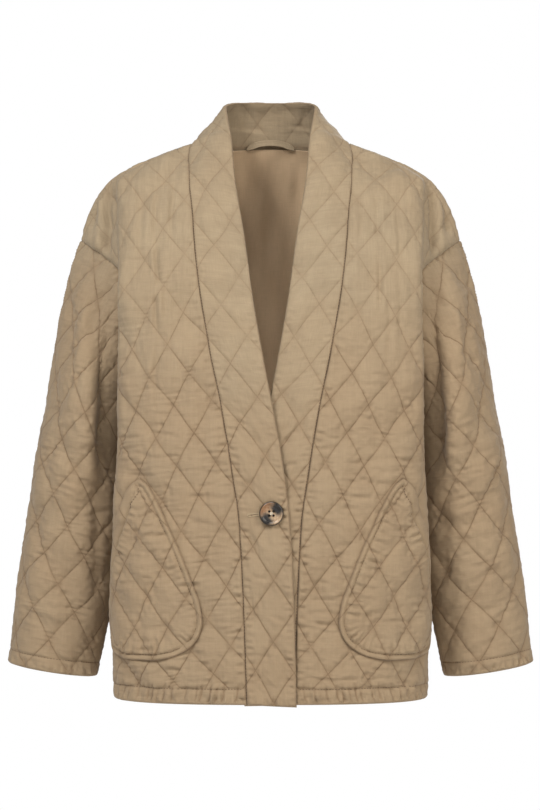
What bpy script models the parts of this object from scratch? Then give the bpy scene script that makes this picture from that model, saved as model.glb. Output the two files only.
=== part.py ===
"""Quilted jacket, hollow and filled out as it hangs on its wearer's shoulders.

The jacket is cut like a real one: a back, two fronts, two drop-shoulder sleeves, one long band
that runs from the hem up round the neck and down again, two patch pockets, a back lining, a
hanger loop and a button. Each cloth piece is a wall over a curved surface. Its pattern is laid
out flat, triangulated on the quilt's own lattice, and every point of the pattern is then placed
on the surface. Diamonds are raised in the wall's outer points, and the inside stays plain.

All sizes below are millimetres: +X is the wearer's left, -Y the front, +Z up, and the origin
lies midway between the two points where the shoulder seams meet the neck.
"""
import math

import bpy
import numpy as np
from mathutils import Vector
from mathutils.geometry import delaunay_2d_cdt

MM = 0.001

# Cloth
WALL = 2.0                # at seams and stitch lines
PUFF = 2.6                # what a diamond's middle adds to that
SEAM_INSET = 0.15         # each piece stops this far short of a seam, so two are 0.3 apart
LINING_GAP = 4.0          # from the back's plain inside to the lining
LINING_WALL = 1.2
LINING_MARGIN = 26.0      # it stops this far short of the back's edges,
LINING_RISE = 4.0         # but is set up this much towards the neck
POCKET_GAP = 0.4
POCKET_PUFF_UNDER = 0.35  # share of the puff left where a pocket presses the front down
POCKET_PUFF = 2.0

# Quilt lattice: half diamonds across and along
FRONT_ACROSS, FRONT_ALONG = 23.0, 34.8
BACK_ACROSS, BACK_ALONG = 23.3, 34.8
SLEEVE_ACROSS, SLEEVE_ALONG = 23.5, 34.5
BAND_ACROSS, BAND_ALONG = 23.5, 35.4
FRONT_CROSSING_X, FRONT_CROSSING_Z = 124.0, -174.5
FRONT_TILT = 0.13         # the rows drop this much for each millimetre towards the side
FRONT_LEAN = 38.0         # the columns lean this far towards the centre, down to the hem
SLEEVE_CROSSING = (78.0, 33.5)   # from the overarm line, and up from the cuff
BAND_CROSSING = (21.0, 40.0)     # from the seam, and up from the hem
EDGE_CLEAR = 7.0          # lattice points nearer than this to an outline are left out
PUFF_CLEAR = 11.0

# Heights and seams of the body
HEM_Z = -656.0
UNDERARM_Z = -290.0
SHOULDER_TIP_Z = -115.0
SIDE_Y = 5.0
BAND_WIDTH = 58.0
BAND_RAISE = 6.5          # the right band's free edge stands this far out of the front
BAND_SINK = 5.5           # and the left one's this far behind it
NECK_LIFT = 5.0

SIDE_STEPS, ARMHOLE_STEPS, SHOULDER_STEPS, BAND_STEPS, NECK_STEPS = 13, 10, 7, 25, 5
CUFF_STEPS, UNDERARM_STEPS = 12, 12


def table(names, rows):
    """Columns by name, from rows whose first value rises or falls steadily."""
    rows = sorted(rows)
    return dict(zip(names.split(), np.array(rows, float).T))


# The half section of the fronts at each height: a rounded quarter from the centre to the crest
# of the fold below the shoulder, then the turn back to the side seam or the armhole.
FRONT_FORM = table("z centre_y crest_x crest_y end_out", (
    (-656, -134, 181.5, -42, 0.0),
    (-600, -135, 182.0, -49, 0.0),
    (-560, -135, 182.5, -52, 0.0),
    (-450, -133, 181.0, -62, 0.0),
    (-350, -127, 175.5, -72, 0.0),
    (-290, -121, 175.0, -78, -0.05),
    (-240, -114, 174.5, -80, -0.2),
    (-190, -105, 174.0, -79, -0.2),
    (-150, -96, 174.5, -70, 0.0),
    (-115, -86, 176.0, -55, 0.25),
    (-80, -70, 178.0, -36, 0.1),
    (-50, -51, 180.0, -18, 0.0),
    (-20, -22, 139.0, -3, 0.0),
    (0, 0, 92.0, 0, 0.0)))

BACK_FORM = table("z centre_y crest_x crest_y end_out", (
    (-656, 133, 183.5, 50, 0.0),
    (-560, 131, 180.0, 55, 0.0),
    (-450, 127, 172.0, 62, 0.0),
    (-350, 122, 167.0, 70, 0.0),
    (-290, 120, 167.0, 78, -0.05),
    (-240, 118, 169.0, 84, -0.15),
    (-190, 116, 174.0, 84, -0.1),
    (-150, 112, 178.0, 76, 0.1),
    (-115, 107, 183.0, 60, 0.2),
    (-80, 99, 185.0, 43, 0.1),
    (-50, 90, 181.0, 24, 0.0),
    (-20, 77, 140.0, 9, 0.0),
    (0, 68, 92.0, 1, 0.0)))
FRONT_ROUND, BACK_ROUND = 2.6, 2.4

SIDE_SEAM = table("z x", ((-656, 184), (-560, 178), (-450, 168), (-350, 158), (-290, 157)))
SHOULDER = table("z x y", (
    (-115, 225, 5), (-90, 218, 5), (-68, 208, 5), (-45.5, 191.5, 5), (-33, 174, 4),
    (-20.5, 149, 3), (-9, 121, 2), (0, 93, 0)))
ARMHOLE_FRONT = table("z x y", (
    (-290, 157, 5), (-262, 161, -28), (-230, 165, -46), (-200, 168, -53), (-175, 171, -51),
    (-152, 176, -41), (-134, 196, -27), (-122, 213, -11), (-115, 225, 5)))
ARMHOLE_BACK = table("z x y", (
    (-290, 157, 5), (-262, 161, 40), (-226, 166, 64), (-190, 172, 68), (-157, 182, 59),
    (-136, 199, 43), (-123, 214, 24), (-115, 225, 5)))
BAND_SEAM = table("z x", (
    (-656, 27), (-545, 30.7), (-448, 35.7), (-389, 44), (-322, 55), (-243, 71), (-153, 85.5),
    (-91, 91), (-20, 96.5), (0, 93)))

# The band's free edge, hem to the middle of the back neck, on the side whose X is positive.
BAND_EDGE = (
    (-30, -134, -658), (-27.4, -135, -545), (-22.8, -133, -454), (-14.7, -130, -382),
    (-2, -124, -311), (7.3, -118, -263), (21.2, -104, -182), (29.5, -88, -120),
    (42.2, -56, -40), (46, -27, 4), (53, 14, 48), (36, 38, 56), (0, 48, 58))
BAND_BULGE = table("share bulge", ((0, 1), (0.6, 2), (0.8, 5), (0.88, 8), (1.0, 4)))

# Rings of the sleeve, cuff first: centre, half width across the arm, half depth, tilt.
SLEEVE_RINGS = (
    (262.7, 16, -629.8, 50.5, 44, 9.0),
    (250.0, 18, -548, 54.0, 52, 10.0),
    (236.0, 19, -450, 53.5, 60, 10.0),
    (225.9, 16, -350, 47.5, 68, 10.0))
SLEEVE_GIRTH = table("up girth", (
    (0, 298), (80, 333), (180, 357), (280, 376), (350, 410), (520, 470)))
# How a sleeve's lengthwise line arrives at the armhole: overarm, front or back, underarm.
SLEEVE_ARRIVAL = table("turn x y z", (
    (0, -66, 0, 142), (0.5, -85, 4, 45), (0.8, -75, 2, 8), (1, -60, 0, -4)))
CROTCH_ROW = 10.0         # an extra row of points this far from the underarm seam

POCKET_CENTRE_X, POCKET_BOTTOM_Z = 153.0, -603.0
POCKET_SHAPE = table("up half", (
    (0, 20), (5, 42), (18, 63), (31, 71), (45, 74), (64, 71), (84, 65), (118, 52),
    (157, 34), (188, 18), (200, 9), (206, 0)))

BUTTON_RADIUS, BUTTON_DEPTH, BUTTON_RIM = 14.0, 4.2, 2.6
BUTTON_X, BUTTON_Z = 1.0, -436.0
BUTTON_HOLE, BUTTON_HOLE_OFFSET = 1.1, 3.1
LOOP_WIDTH, LOOP_DEPTH = 7.0, 2.2
LOOP_LINE = ((-28, 61.5, 6), (-22, 60.5, 9.5), (-12, 60, 11.5), (0, 59.5, 12),
             (12, 60, 11.5), (22, 60.5, 9.5), (28, 61.5, 6))


# Curves ---------------------------------------------------------------------------------------

def read(form, name, at):
    """One column of a table as a smooth curve that never overshoots its rows."""
    knots = next(iter(form.values()))
    values = form[name]
    step = np.diff(values) / np.diff(knots)
    slope = np.zeros(len(values))
    slope[0], slope[-1] = step[0], step[-1]
    same = step[:-1] * step[1:] > 0
    pair = np.where(same, step[:-1] + step[1:], 1.0)
    slope[1:-1] = np.where(same, 2 * step[:-1] * step[1:] / pair, 0.0)
    at = np.clip(at, knots[0], knots[-1])
    row = np.clip(np.searchsorted(knots, at) - 1, 0, len(knots) - 2)
    width = knots[row + 1] - knots[row]
    u = (at - knots[row]) / width
    return (values[row] * (1 + 2 * u) * (1 - u) ** 2 + slope[row] * width * u * (1 - u) ** 2
            + values[row + 1] * u * u * (3 - 2 * u) + slope[row + 1] * width * u * u * (u - 1))


def lengths(points):
    """Distance along a line of points, at each point."""
    steps = np.linalg.norm(np.diff(points, axis=0), axis=1)
    return np.concatenate(([0.0], np.cumsum(steps)))


def along(points, distance):
    """The point at a distance along a line of points."""
    run = lengths(points)
    return np.stack([np.interp(distance, run, points[:, k]) for k in range(points.shape[1])], -1)


def evenly(points, steps):
    """The same line with equal steps."""
    return along(points, np.linspace(0, lengths(points)[-1], steps + 1))


def through(points, count=400):
    """A smooth line through a few points."""
    points = np.array(points, float)
    run = lengths(points)
    at = np.linspace(0, run[-1], count)
    columns = [read({"run": run, "value": points[:, k]}, "value", at) for k in range(3)]
    return np.stack(columns, -1)


def smoothstep(u):
    u = np.clip(u, 0, 1)
    return u * u * (3 - 2 * u)


# Body surface ---------------------------------------------------------------------------------

def seam_end(z, armhole):
    """Where the half section ends at a height: side seam, armhole or shoulder."""
    if z <= UNDERARM_Z:
        return float(read(SIDE_SEAM, "x", z)), SIDE_Y
    ends = armhole if z < SHOULDER_TIP_Z else SHOULDER
    return float(read(ends, "x", z)), float(read(ends, "y", z))


def half_section(z, back):
    """The half section at a height, from the centre to the seam, as points."""
    form, roundness = (BACK_FORM, BACK_ROUND) if back else (FRONT_FORM, FRONT_ROUND)
    armhole = ARMHOLE_BACK if back else ARMHOLE_FRONT
    end = np.array(seam_end(z, armhole))
    centre_y, crest_x, crest_y, out = (
        float(read(form, name, z)) for name in ("centre_y", "crest_x", "crest_y", "end_out"))
    crest_x = min(crest_x, end[0] - 0.5) if z > SHOULDER_TIP_Z else crest_x
    angle = np.linspace(0, math.pi / 2, 60)
    quarter = np.stack((crest_x * np.sin(angle) ** (2 / roundness),
                        crest_y + (centre_y - crest_y) * np.cos(angle) ** (2 / roundness)), -1)
    towards = 1 if not back else -1
    reach = 0.45 * abs(end[1] - crest_y)
    first = quarter[-1] + (0, towards * reach)
    second = end - np.array((out, towards)) * reach
    u = np.linspace(0, 1, 30)[1:, None]
    turn = ((1 - u) ** 3 * quarter[-1] + 3 * u * (1 - u) ** 2 * first
            + 3 * u * u * (1 - u) * second + u ** 3 * end)
    flat = np.concatenate((quarter, turn))
    return np.column_stack((flat, np.full(len(flat), z)))


def climb_table(back):
    """Length up the centre line against height, which is the pattern's vertical."""
    form = BACK_FORM if back else FRONT_FORM
    z = np.linspace(HEM_Z, 0, 300)
    return z, lengths(np.stack((read(form, "centre_y", z), z), -1))


def climb(z, back):
    return np.interp(z, *climb_table(back))


def height(up, back):
    """The other way round: the height at a length up the centre line."""
    z, run = climb_table(back)
    return np.interp(up, run, z)


def body_point(across, up, back):
    """The surface point at a place in the flat pattern of a body panel."""
    z = float(height(up, back))
    side = 1 if across >= 0 else -1
    point = along(half_section(z, back), abs(across))
    if back:
        lift = NECK_LIFT * max(0.0, 1 - (point[0] / 93) ** 2) * smoothstep(z / 60 + 1)
        point = point + (0, 0, lift)
    return point * (side, 1, 1)


def across_at(x, z):
    """How far round the front section the given X is."""
    section = half_section(z, False)
    quarter = section[:60]
    return float(np.interp(x, quarter[:, 0], lengths(quarter)))


# Seams: each is one line of points that both of its pieces use --------------------------------

def rows_of(form, names):
    z = np.linspace(form["z"][0], form["z"][-1], 300)
    columns = [z if name == "z" else read(form, name, z) for name in names]
    return np.stack(columns, -1)


def side_seam():
    line = rows_of(SIDE_SEAM, ("x", "z"))
    line = np.column_stack((line[:, 0], np.full(len(line), SIDE_Y), line[:, 1]))
    return evenly(line, SIDE_STEPS)


def band_seam():
    z = np.linspace(HEM_Z, 0, 500)
    line = [along(half_section(h, False), across_at(float(read(BAND_SEAM, "x", h)), h)) for h in z]
    return evenly(np.array(line), BAND_STEPS)


def neck_seam():
    """From the shoulder's neck point to the middle of the back neck."""
    reach = lengths(half_section(0.0, True))[-1]
    line = np.array([body_point(s, climb(0.0, True), True) for s in np.linspace(reach, 0, 60)])
    line[0] = (SHOULDER["x"][-1], SHOULDER["y"][-1], 0)
    return evenly(line, NECK_STEPS)


SIDE = side_seam()
ARM_FRONT = evenly(rows_of(ARMHOLE_FRONT, ("x", "y", "z")), ARMHOLE_STEPS)
ARM_BACK = evenly(rows_of(ARMHOLE_BACK, ("x", "y", "z")), ARMHOLE_STEPS)
SHOULDER_LINE = evenly(rows_of(SHOULDER, ("x", "y", "z")), SHOULDER_STEPS)
BAND_LINE = band_seam()
NECK_LINE = neck_seam()


# Flat patterns --------------------------------------------------------------------------------

def segment_distance(point, loop):
    """Distance from a point to a closed outline."""
    start = loop
    span = np.roll(loop, -1, axis=0) - loop
    share = np.sum((point - start) * span, axis=1) / np.maximum(np.sum(span * span, axis=1), 1e-9)
    nearest = start + np.clip(share, 0, 1)[:, None] * span
    return float(np.min(np.linalg.norm(nearest - point, axis=1)))


def inside(point, loop):
    """Whether a point lies inside a closed outline."""
    x, y = point
    x0, y0 = loop.T
    x1, y1 = np.roll(loop, -1, axis=0).T
    straddles = (y0 > y) != (y1 > y)
    cross_x = x0 + (y - y0) * (x1 - x0) / np.where(y1 == y0, 1e-9, y1 - y0)
    return int(np.sum(straddles & (x < cross_x))) % 2 == 1


def lattice(place, outline, inlay=None, extra=()):
    """Quilt points inside an outline, each with its height: 1 in a diamond's middle, else 0."""
    loops = [outline] if inlay is None else [outline, inlay]
    points, rises = list(extra), [0.0] * len(extra)
    for i in range(-24, 50):
        for j in range(-24, 50):
            middle = float((i + j) % 2)
            for step, rise in ((0, middle), (0.5, 0.0)):
                point = np.array(place(i + step, j + step))
                if not inside(point, outline):
                    continue
                gap = min(segment_distance(point, loop) for loop in loops)
                if gap < (PUFF_CLEAR if rise else EDGE_CLEAR):
                    continue
                if any(np.linalg.norm(point - other) < (PUFF_CLEAR if rise else EDGE_CLEAR)
                       for other in extra):
                    continue
                points.append(point)
                rises.append(rise)
    return points, rises


def triangulate(outline, inner, inlay=None):
    """Triangles over a flat pattern, as rows of indices: outline, inlay, then inner points."""
    rings = [len(outline)] + ([] if inlay is None else [len(inlay)])
    flat = list(outline) + ([] if inlay is None else list(inlay)) + list(inner)
    edges, start = [], 0
    for count in rings:
        edges += [(start + k, start + (k + 1) % count) for k in range(count)]
        start += count
    result = delaunay_2d_cdt([Vector(p) for p in flat], edges, [], 1, 1e-5)
    source = [origin[0] for origin in result[3]]
    faces = np.array([[source[k] for k in face] for face in result[2]])
    flat = np.array(flat)
    a, b, c = (flat[faces[:, k]] for k in range(3))
    turn = (b[:, 0] - a[:, 0]) * (c[:, 1] - a[:, 1]) - (b[:, 1] - a[:, 1]) * (c[:, 0] - a[:, 0])
    faces[turn < 0] = faces[turn < 0][:, ::-1]
    return flat, faces


def piece(name, points, faces, rises, side=1, **more):
    """A cut piece: its points on the surface, its triangles facing out, and its heights."""
    points = np.array(points) * (side, 1, 1)
    faces = faces if side > 0 else faces[:, ::-1]
    return {"name": name, "points": points, "faces": faces, "rises": np.array(rises), **more}


def front_pattern():
    """One front as a pattern: flat points, surface points, triangles, heights and pocket."""
    def flat(point):
        z = min(point[2], -0.01)
        return np.array((lengths(half_section(z, False))[-1], climb(point[2], False)))

    def band_flat(point):
        return np.array((across_at(point[0], min(point[2], -0.01)), climb(point[2], False)))

    hem_start, hem_end = band_flat(BAND_LINE[0]), flat(SIDE[0])
    hem = [hem_start + (hem_end - hem_start) * k / 10 for k in range(1, 10)]
    up_side = list(SIDE[:-1]) + list(ARM_FRONT[:-1]) + list(SHOULDER_LINE)
    down_band = list(BAND_LINE[1:-1][::-1]) + [BAND_LINE[0]]
    solid = ([body_point(*p, False) for p in hem] + up_side + down_band)
    outline = np.array(hem + [flat(p) for p in up_side] + [band_flat(p) for p in down_band])

    base = np.array((across_at(FRONT_CROSSING_X, FRONT_CROSSING_Z),
                     climb(FRONT_CROSSING_Z, False)))

    def place(i, j):
        up = base[1] + FRONT_ALONG * j - FRONT_TILT * FRONT_ACROSS * i
        lean = FRONT_LEAN * smoothstep((base[1] - 15 - up) / 420)
        return base[0] + FRONT_ACROSS * i - lean, up

    pocket = pocket_outline()
    inner, rises = lattice(place, outline, pocket)
    flat_points, faces = triangulate(outline, inner, pocket)
    rest = flat_points[len(outline):]
    points = solid + [body_point(s, t, False) for s, t in rest]
    heights = [0.0] * (len(outline) + len(pocket)) + rises
    return flat_points, np.array(points), faces, np.array(heights), pocket


def pocket_outline():
    """The teardrop in the front's flat pattern, its sides evenly stepped."""
    up = np.linspace(0, POCKET_SHAPE["up"][-1], 200)
    edge = np.stack((read(POCKET_SHAPE, "half", up), up), -1)
    edge = evenly(np.concatenate(([(0.0, 0.0)], edge)), 13)
    loop = np.concatenate((edge, edge[-2:0:-1] * (-1, 1)))
    centre = (across_at(POCKET_CENTRE_X, POCKET_BOTTOM_Z), climb(POCKET_BOTTOM_Z, False))
    return loop + centre


def fronts():
    """The two fronts and the pockets that lie on them."""
    flat, points, faces, rises, pocket = front_pattern()
    under = np.array([inside(p, pocket) for p in flat])
    pressed = np.where(under, rises * POCKET_PUFF_UNDER, rises)
    covered = np.array([inside(flat[face].mean(axis=0), pocket) for face in faces])
    made = []
    for side, word in ((-1, "right"), (1, "left")):
        front = piece("front_" + word, points, faces, pressed, side)
        made.append(front)
        made.append(piece("pocket_" + word, points, faces[covered], rises, side, on=front))
    return made


def back_pattern():
    """The whole back, its outline run round from the left side of the hem."""
    def flat(point):
        z = min(point[2], -0.01)
        return np.array((lengths(half_section(z, True))[-1], climb(z, True)))

    def neck_flat(point):
        section = half_section(0.0, True)
        return np.array((np.interp(point[0], section[:, 0], lengths(section)), climb(0.0, True)))

    half = list(SIDE[:-1]) + list(ARM_BACK[:-1]) + list(SHOULDER_LINE) + list(NECK_LINE[1:])
    half_flat = [flat(p) for p in half[:-len(NECK_LINE) + 1]] + [neck_flat(p) for p in NECK_LINE[1:]]
    mirror = np.array((-1, 1, 1))
    reach = half_flat[0][0]
    hem = [np.array((-reach + 2 * reach * k / 18, 0.0)) for k in range(1, 18)]
    solid = ([body_point(*p, True) for p in hem] + half
             + [p * mirror for p in half[-2::-1]])
    outline = np.array(hem + half_flat + [p * (-1, 1) for p in half_flat[-2::-1]])
    start = climb(FRONT_CROSSING_Z, True)

    def place(i, j):
        return BACK_ACROSS * i, start + BACK_ALONG * j

    inner, rises = lattice(place, outline)
    flat_points, faces = triangulate(outline, inner)
    points = solid + [body_point(s, t, True) for s, t in inner]
    # Seen from behind the pattern's X runs the other way, so its faces are turned.
    back = piece("back", points, faces[:, ::-1], [0.0] * len(outline) + rises)
    return back, outline, place


def back_lining(outline, place):
    """The plain lining inside the back, a little smaller than it all round."""
    centre = outline.mean(axis=0)
    reach = np.max(np.abs(outline - centre), axis=0)
    loop = centre + (outline - centre) * (1 - LINING_MARGIN / reach) + (0, LINING_RISE)
    loop = loop[::2]
    grid = []
    for i in range(-12, 13):
        for j in range(-24, 30):
            point = np.array(place(i, j))
            if inside(point, loop) and segment_distance(point, loop) > EDGE_CLEAR:
                grid.append(point)
    flat, faces = triangulate(loop, grid)
    points = [body_point(s, t, True) for s, t in flat]
    return piece("back_lining", points, faces[:, ::-1], np.zeros(len(flat)), inward=True)


# Sleeve ---------------------------------------------------------------------------------------

ARM_LOOP_FRONT = rows_of(ARMHOLE_FRONT, ("x", "y", "z"))[::-1]
ARM_LOOP_BACK = rows_of(ARMHOLE_BACK, ("x", "y", "z"))[::-1]


def sleeve_line(turn):
    """A lengthwise line of the sleeve, cuff to armhole; turn runs from -1 at the underarm,
    by the back, to 0 over the arm and by the front to 1 at the underarm again."""
    angle = turn * math.pi
    knots = []
    for x, y, z, half_width, half_depth, tilt in SLEEVE_RINGS:
        tilt = math.radians(tilt)
        outward = half_width * math.cos(angle)
        knots.append((x + outward * math.cos(tilt), y - half_depth * math.sin(angle),
                      z + outward * math.sin(tilt)))
    loop = ARM_LOOP_FRONT if turn >= 0 else ARM_LOOP_BACK
    knots.append(along(loop, abs(turn) * lengths(loop)[-1]))
    knots = np.array(knots)
    slope = np.zeros_like(knots)
    slope[1:-1] = (knots[2:] - knots[:-2]) / 2
    slope[0] = (-16, 0, 84)
    away = math.copysign(1, turn)
    arrival = [float(read(SLEEVE_ARRIVAL, name, abs(turn))) for name in ("x", "y", "z")]
    slope[-1] = np.array(arrival) * (1, away, 1)
    last = np.linalg.norm(knots[-1] - knots[-2])
    slope[-2] *= min(1.0, 1.1 * last / np.linalg.norm(slope[-2]))
    line = []
    for k in range(len(knots) - 1):
        u = np.linspace(0, 1, 24)[:, None]
        u = u if k == len(knots) - 2 else u[:-1]
        line.append(knots[k] * (1 + 2 * u) * (1 - u) ** 2 + slope[k] * u * (1 - u) ** 2
                    + knots[k + 1] * u * u * (3 - 2 * u) + slope[k + 1] * u * u * (u - 1))
    return np.concatenate(line)


def sleeve(side, word):
    """A sleeve: a flat pattern closed along the underarm seam."""
    def girth(up):
        return float(read(SLEEVE_GIRTH, "girth", up))

    def point_at(turn, up):
        return along(sleeve_line(turn), up)

    def flat_at(turn, up):
        return np.array((turn * girth(up) / 2, up))

    cuff = [flat_at(-1 + 2 * k / CUFF_STEPS, 0.0) for k in range(1, CUFF_STEPS)]
    under = lengths(sleeve_line(1.0))[-1]
    seam_ups = np.append(np.linspace(0, under - CROTCH_ROW, UNDERARM_STEPS), under)
    front_turns = np.linspace(1, 0, ARMHOLE_STEPS + 1)
    top, top_solid = [], []
    for turns, loop in ((front_turns[:-1], ARM_FRONT), (-front_turns[::-1][:-1], ARM_BACK[::-1])):
        for turn, point in zip(turns, loop):
            top.append(flat_at(turn, lengths(sleeve_line(turn))[-1]))
            top_solid.append(point)
    top.append(flat_at(-1.0, under))
    top_solid.append(ARM_BACK[0])
    outline = np.array(cuff + [flat_at(1.0, up) for up in seam_ups[:-1]] + top
                       + [flat_at(-1.0, up) for up in seam_ups[-2::-1]])
    solid = ([point_at(p[0] * 2 / girth(0.0), 0.0) for p in cuff]
             + [point_at(1.0, up) for up in seam_ups[:-1]] + top_solid
             + [point_at(1.0, up) for up in seam_ups[-2::-1]])

    crotch = []
    for turn in np.concatenate((front_turns[1:5], -front_turns[1:5])):
        crotch.append(flat_at(turn, lengths(sleeve_line(turn))[-1] - CROTCH_ROW))

    def place(i, j):
        return SLEEVE_CROSSING[0] + SLEEVE_ACROSS * i, SLEEVE_CROSSING[1] + SLEEVE_ALONG * j

    inner, rises = lattice(place, outline, extra=crotch)
    flat, faces = triangulate(outline, inner)
    points = solid + [point_at(float(np.clip(2 * s / girth(t), -1, 1)), t) for s, t in inner]
    faces = faces[:, ::-1]
    return piece("sleeve_" + word, points, faces, [0.0] * len(outline) + rises, side)


# Band -----------------------------------------------------------------------------------------

BAND_HALF = np.concatenate((BAND_LINE, NECK_LINE[1:]))
BAND_FREE = through(BAND_EDGE)


def band_point(distance, width_share):
    """A point of the band: distance up from the right hem, round the neck, down to the left."""
    half = lengths(BAND_HALF)[-1]
    side = -1 if distance < half else 1
    run = min(distance, 2 * half - distance)
    share = run / half
    seam = along(BAND_HALF, run)
    free_length = lengths(BAND_FREE)[-1]
    edge = along(BAND_FREE, share * free_length)
    ahead = along(BAND_HALF, min(run + 4, half)) - along(BAND_HALF, max(run - 4, 0))
    out = np.cross(ahead, edge - seam)
    out = out / np.linalg.norm(out)
    out = out if (out[1] < 0 or share > 0.8) else -out
    bulge = 4 * width_share * (1 - width_share) * float(read(BAND_BULGE, "bulge", share))
    overlap = smoothstep((-160 - seam[2]) / 100) * width_share
    shift = -BAND_RAISE if side < 0 else BAND_SINK
    point = seam + (edge - seam) * width_share + out * bulge + (0, shift * overlap, 0)
    return point * (side, 1, 1)


def band():
    """The one long band, its seam edge made of the fronts' and the back's own points."""
    half = lengths(BAND_HALF)[-1]
    run = lengths(BAND_HALF)
    mirror = np.array((-1, 1, 1))
    seam_run = list(run) + list(2 * half - run[-2::-1])
    seam_solid = [p * mirror for p in BAND_HALF] + [p for p in BAND_HALF[-2::-1]]
    free_run = np.linspace(0, 2 * half, 61)
    outline = np.array([(a, 0.0) for a in seam_run]
                       + [(2 * half, BAND_WIDTH / 2)]
                       + [(a, BAND_WIDTH) for a in free_run[::-1]]
                       + [(0.0, BAND_WIDTH / 2)])
    solid = seam_solid + [band_point(a, w / BAND_WIDTH) for a, w in outline[len(seam_solid):]]

    def place(i, j):
        """The lattice is the same up each side, and meets at the middle of the back neck."""
        return BAND_CROSSING[1] + BAND_ALONG * j, BAND_CROSSING[0] + BAND_ACROSS * i

    left_half = np.array([(0, 0), (half - 12, 0), (half - 12, BAND_WIDTH), (0, BAND_WIDTH)])
    inner, rises = lattice(place, left_half)
    other = [np.array((2 * half - p[0], p[1])) for p in inner]
    middle = [np.array((half, BAND_WIDTH / 2))]
    flat, faces = triangulate(outline, inner + other + middle)
    rest = inner + other + middle
    points = solid + [band_point(a, w / BAND_WIDTH) for a, w in rest]
    return piece("band", points, faces[:, ::-1], [0.0] * len(outline) + rises + rises + [0.0])


# Walls ----------------------------------------------------------------------------------------

def key(point):
    return tuple(np.round(point * 50).astype(int))


def weld(item):
    """Points at one place become one, as along the underarm seam."""
    first, target = {}, []
    for index, point in enumerate(item["points"]):
        target.append(first.setdefault(key(point), index))
    used = np.unique(np.array(target)[item["faces"]])
    fresh = {old: new for new, old in enumerate(used)}
    item["faces"] = np.array([[fresh[target[k]] for k in face] for face in item["faces"]])
    item["points"] = item["points"][used]
    item["rises"] = item["rises"][used]


def facing(item):
    """Each point's outward direction, from its triangles weighted by their corner angles."""
    points, faces = item["points"], item["faces"]
    a, b, c = (points[faces[:, k]] for k in range(3))
    normal = np.cross(b - a, c - a)
    normal /= np.maximum(np.linalg.norm(normal, axis=1), 1e-9)[:, None]
    total = np.zeros_like(points)
    for k in range(3):
        corner, ahead, behind = (points[faces[:, (k + n) % 3]] for n in range(3))
        u, v = ahead - corner, behind - corner
        cosine = np.sum(u * v, axis=1) / (np.linalg.norm(u, axis=1) * np.linalg.norm(v, axis=1))
        np.add.at(total, faces[:, k], normal * np.arccos(np.clip(cosine, -1, 1))[:, None])
    return total / np.linalg.norm(total, axis=1)[:, None]


def rim_edges(faces):
    """The edges that only one triangle uses, in its own direction."""
    directed = {(int(f[k]), int(f[(k + 1) % 3])) for f in faces for k in range(3)}
    return sorted(edge for edge in directed if edge[::-1] not in directed)


def inset(points, normals, faces):
    """Rim points moved in from the seam, square to it and along the cloth."""
    before, after = {}, {}
    for a, b in rim_edges(faces):
        after[a], before[b] = b, a
    moved = points.copy()
    for index in after:
        sides = []
        for start, end in ((before[index], index), (index, after[index])):
            square = np.cross(normals[index], points[end] - points[start])
            sides.append(square / np.linalg.norm(square))
        mitre = (sides[0] + sides[1]) / (1 + max(float(sides[0] @ sides[1]), -0.5))
        moved[index] += SEAM_INSET * mitre
    return moved


def shell(item, inner, outer, finish="quilted_cloth"):
    """A closed wall from an inner and an outer layer of the same triangles."""
    count = len(inner)
    faces = [tuple(f) for f in item["faces"]]
    faces += [tuple(int(k) + count for k in f[::-1]) for f in item["faces"]]
    for a, b in rim_edges(item["faces"]):
        # Both pieces at a seam split their twisted rim quads along the same diagonal.
        if key(item["points"][a]) < key(item["points"][b]):
            faces += [(b, a, a + count), (b, a + count, b + count)]
        else:
            faces += [(b, a, b + count), (a, a + count, b + count)]
    points = np.concatenate((outer, inner)) * MM
    mesh = bpy.data.meshes.new(item["name"])
    mesh.from_pydata(points.tolist(), [], [tuple(int(k) for k in f) for f in faces])
    mesh.validate()
    return add_object(item["name"], mesh, finish)


def cloth():
    """All cloth pieces, with the seams' directions shared by the pieces that meet there."""
    back, outline, place = back_pattern()
    items = fronts() + [back, sleeve(-1, "right"), sleeve(1, "left"), band()]
    lining = back_lining(outline, place)
    body = [item for item in items if "on" not in item]
    for item in items + [lining]:
        weld(item)
    shared = {}
    for item in body:
        for point, direction in zip(item["points"], facing(item)):
            shared[key(point)] = shared.get(key(point), 0) + direction
    for item in body:
        normals = np.array([shared[key(p)] for p in item["points"]])
        normals /= np.linalg.norm(normals, axis=1)[:, None]
        inner = inset(item["points"], normals, item["faces"])
        thick = WALL + PUFF * item["rises"]
        outer = inner + normals * thick[:, None]
        item["normals"], item["outer"] = normals, outer
        shell(item, inner, outer)
    for item in items:
        if "on" in item:
            pocket_shell(item)
    lining_shell(lining)


def pocket_shell(item):
    """A pocket made from its front's own points, moved out."""
    front = item["on"]
    place = {key(p): k for k, p in enumerate(front["points"])}
    rows = [place[key(p)] for p in item["points"]]
    normals = front["normals"][rows]
    inner = front["outer"][rows] + normals * POCKET_GAP
    thick = WALL + POCKET_PUFF * item["rises"]
    shell(item, inner, inner + normals * thick[:, None])


def lining_shell(item):
    """The lining, moved in from the back's inside."""
    normals = facing(item)
    outer = item["points"] - normals * LINING_GAP
    shell(item, outer - normals * LINING_WALL, outer, "lining_cloth")


# Hard and small pieces ------------------------------------------------------------------------

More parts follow.
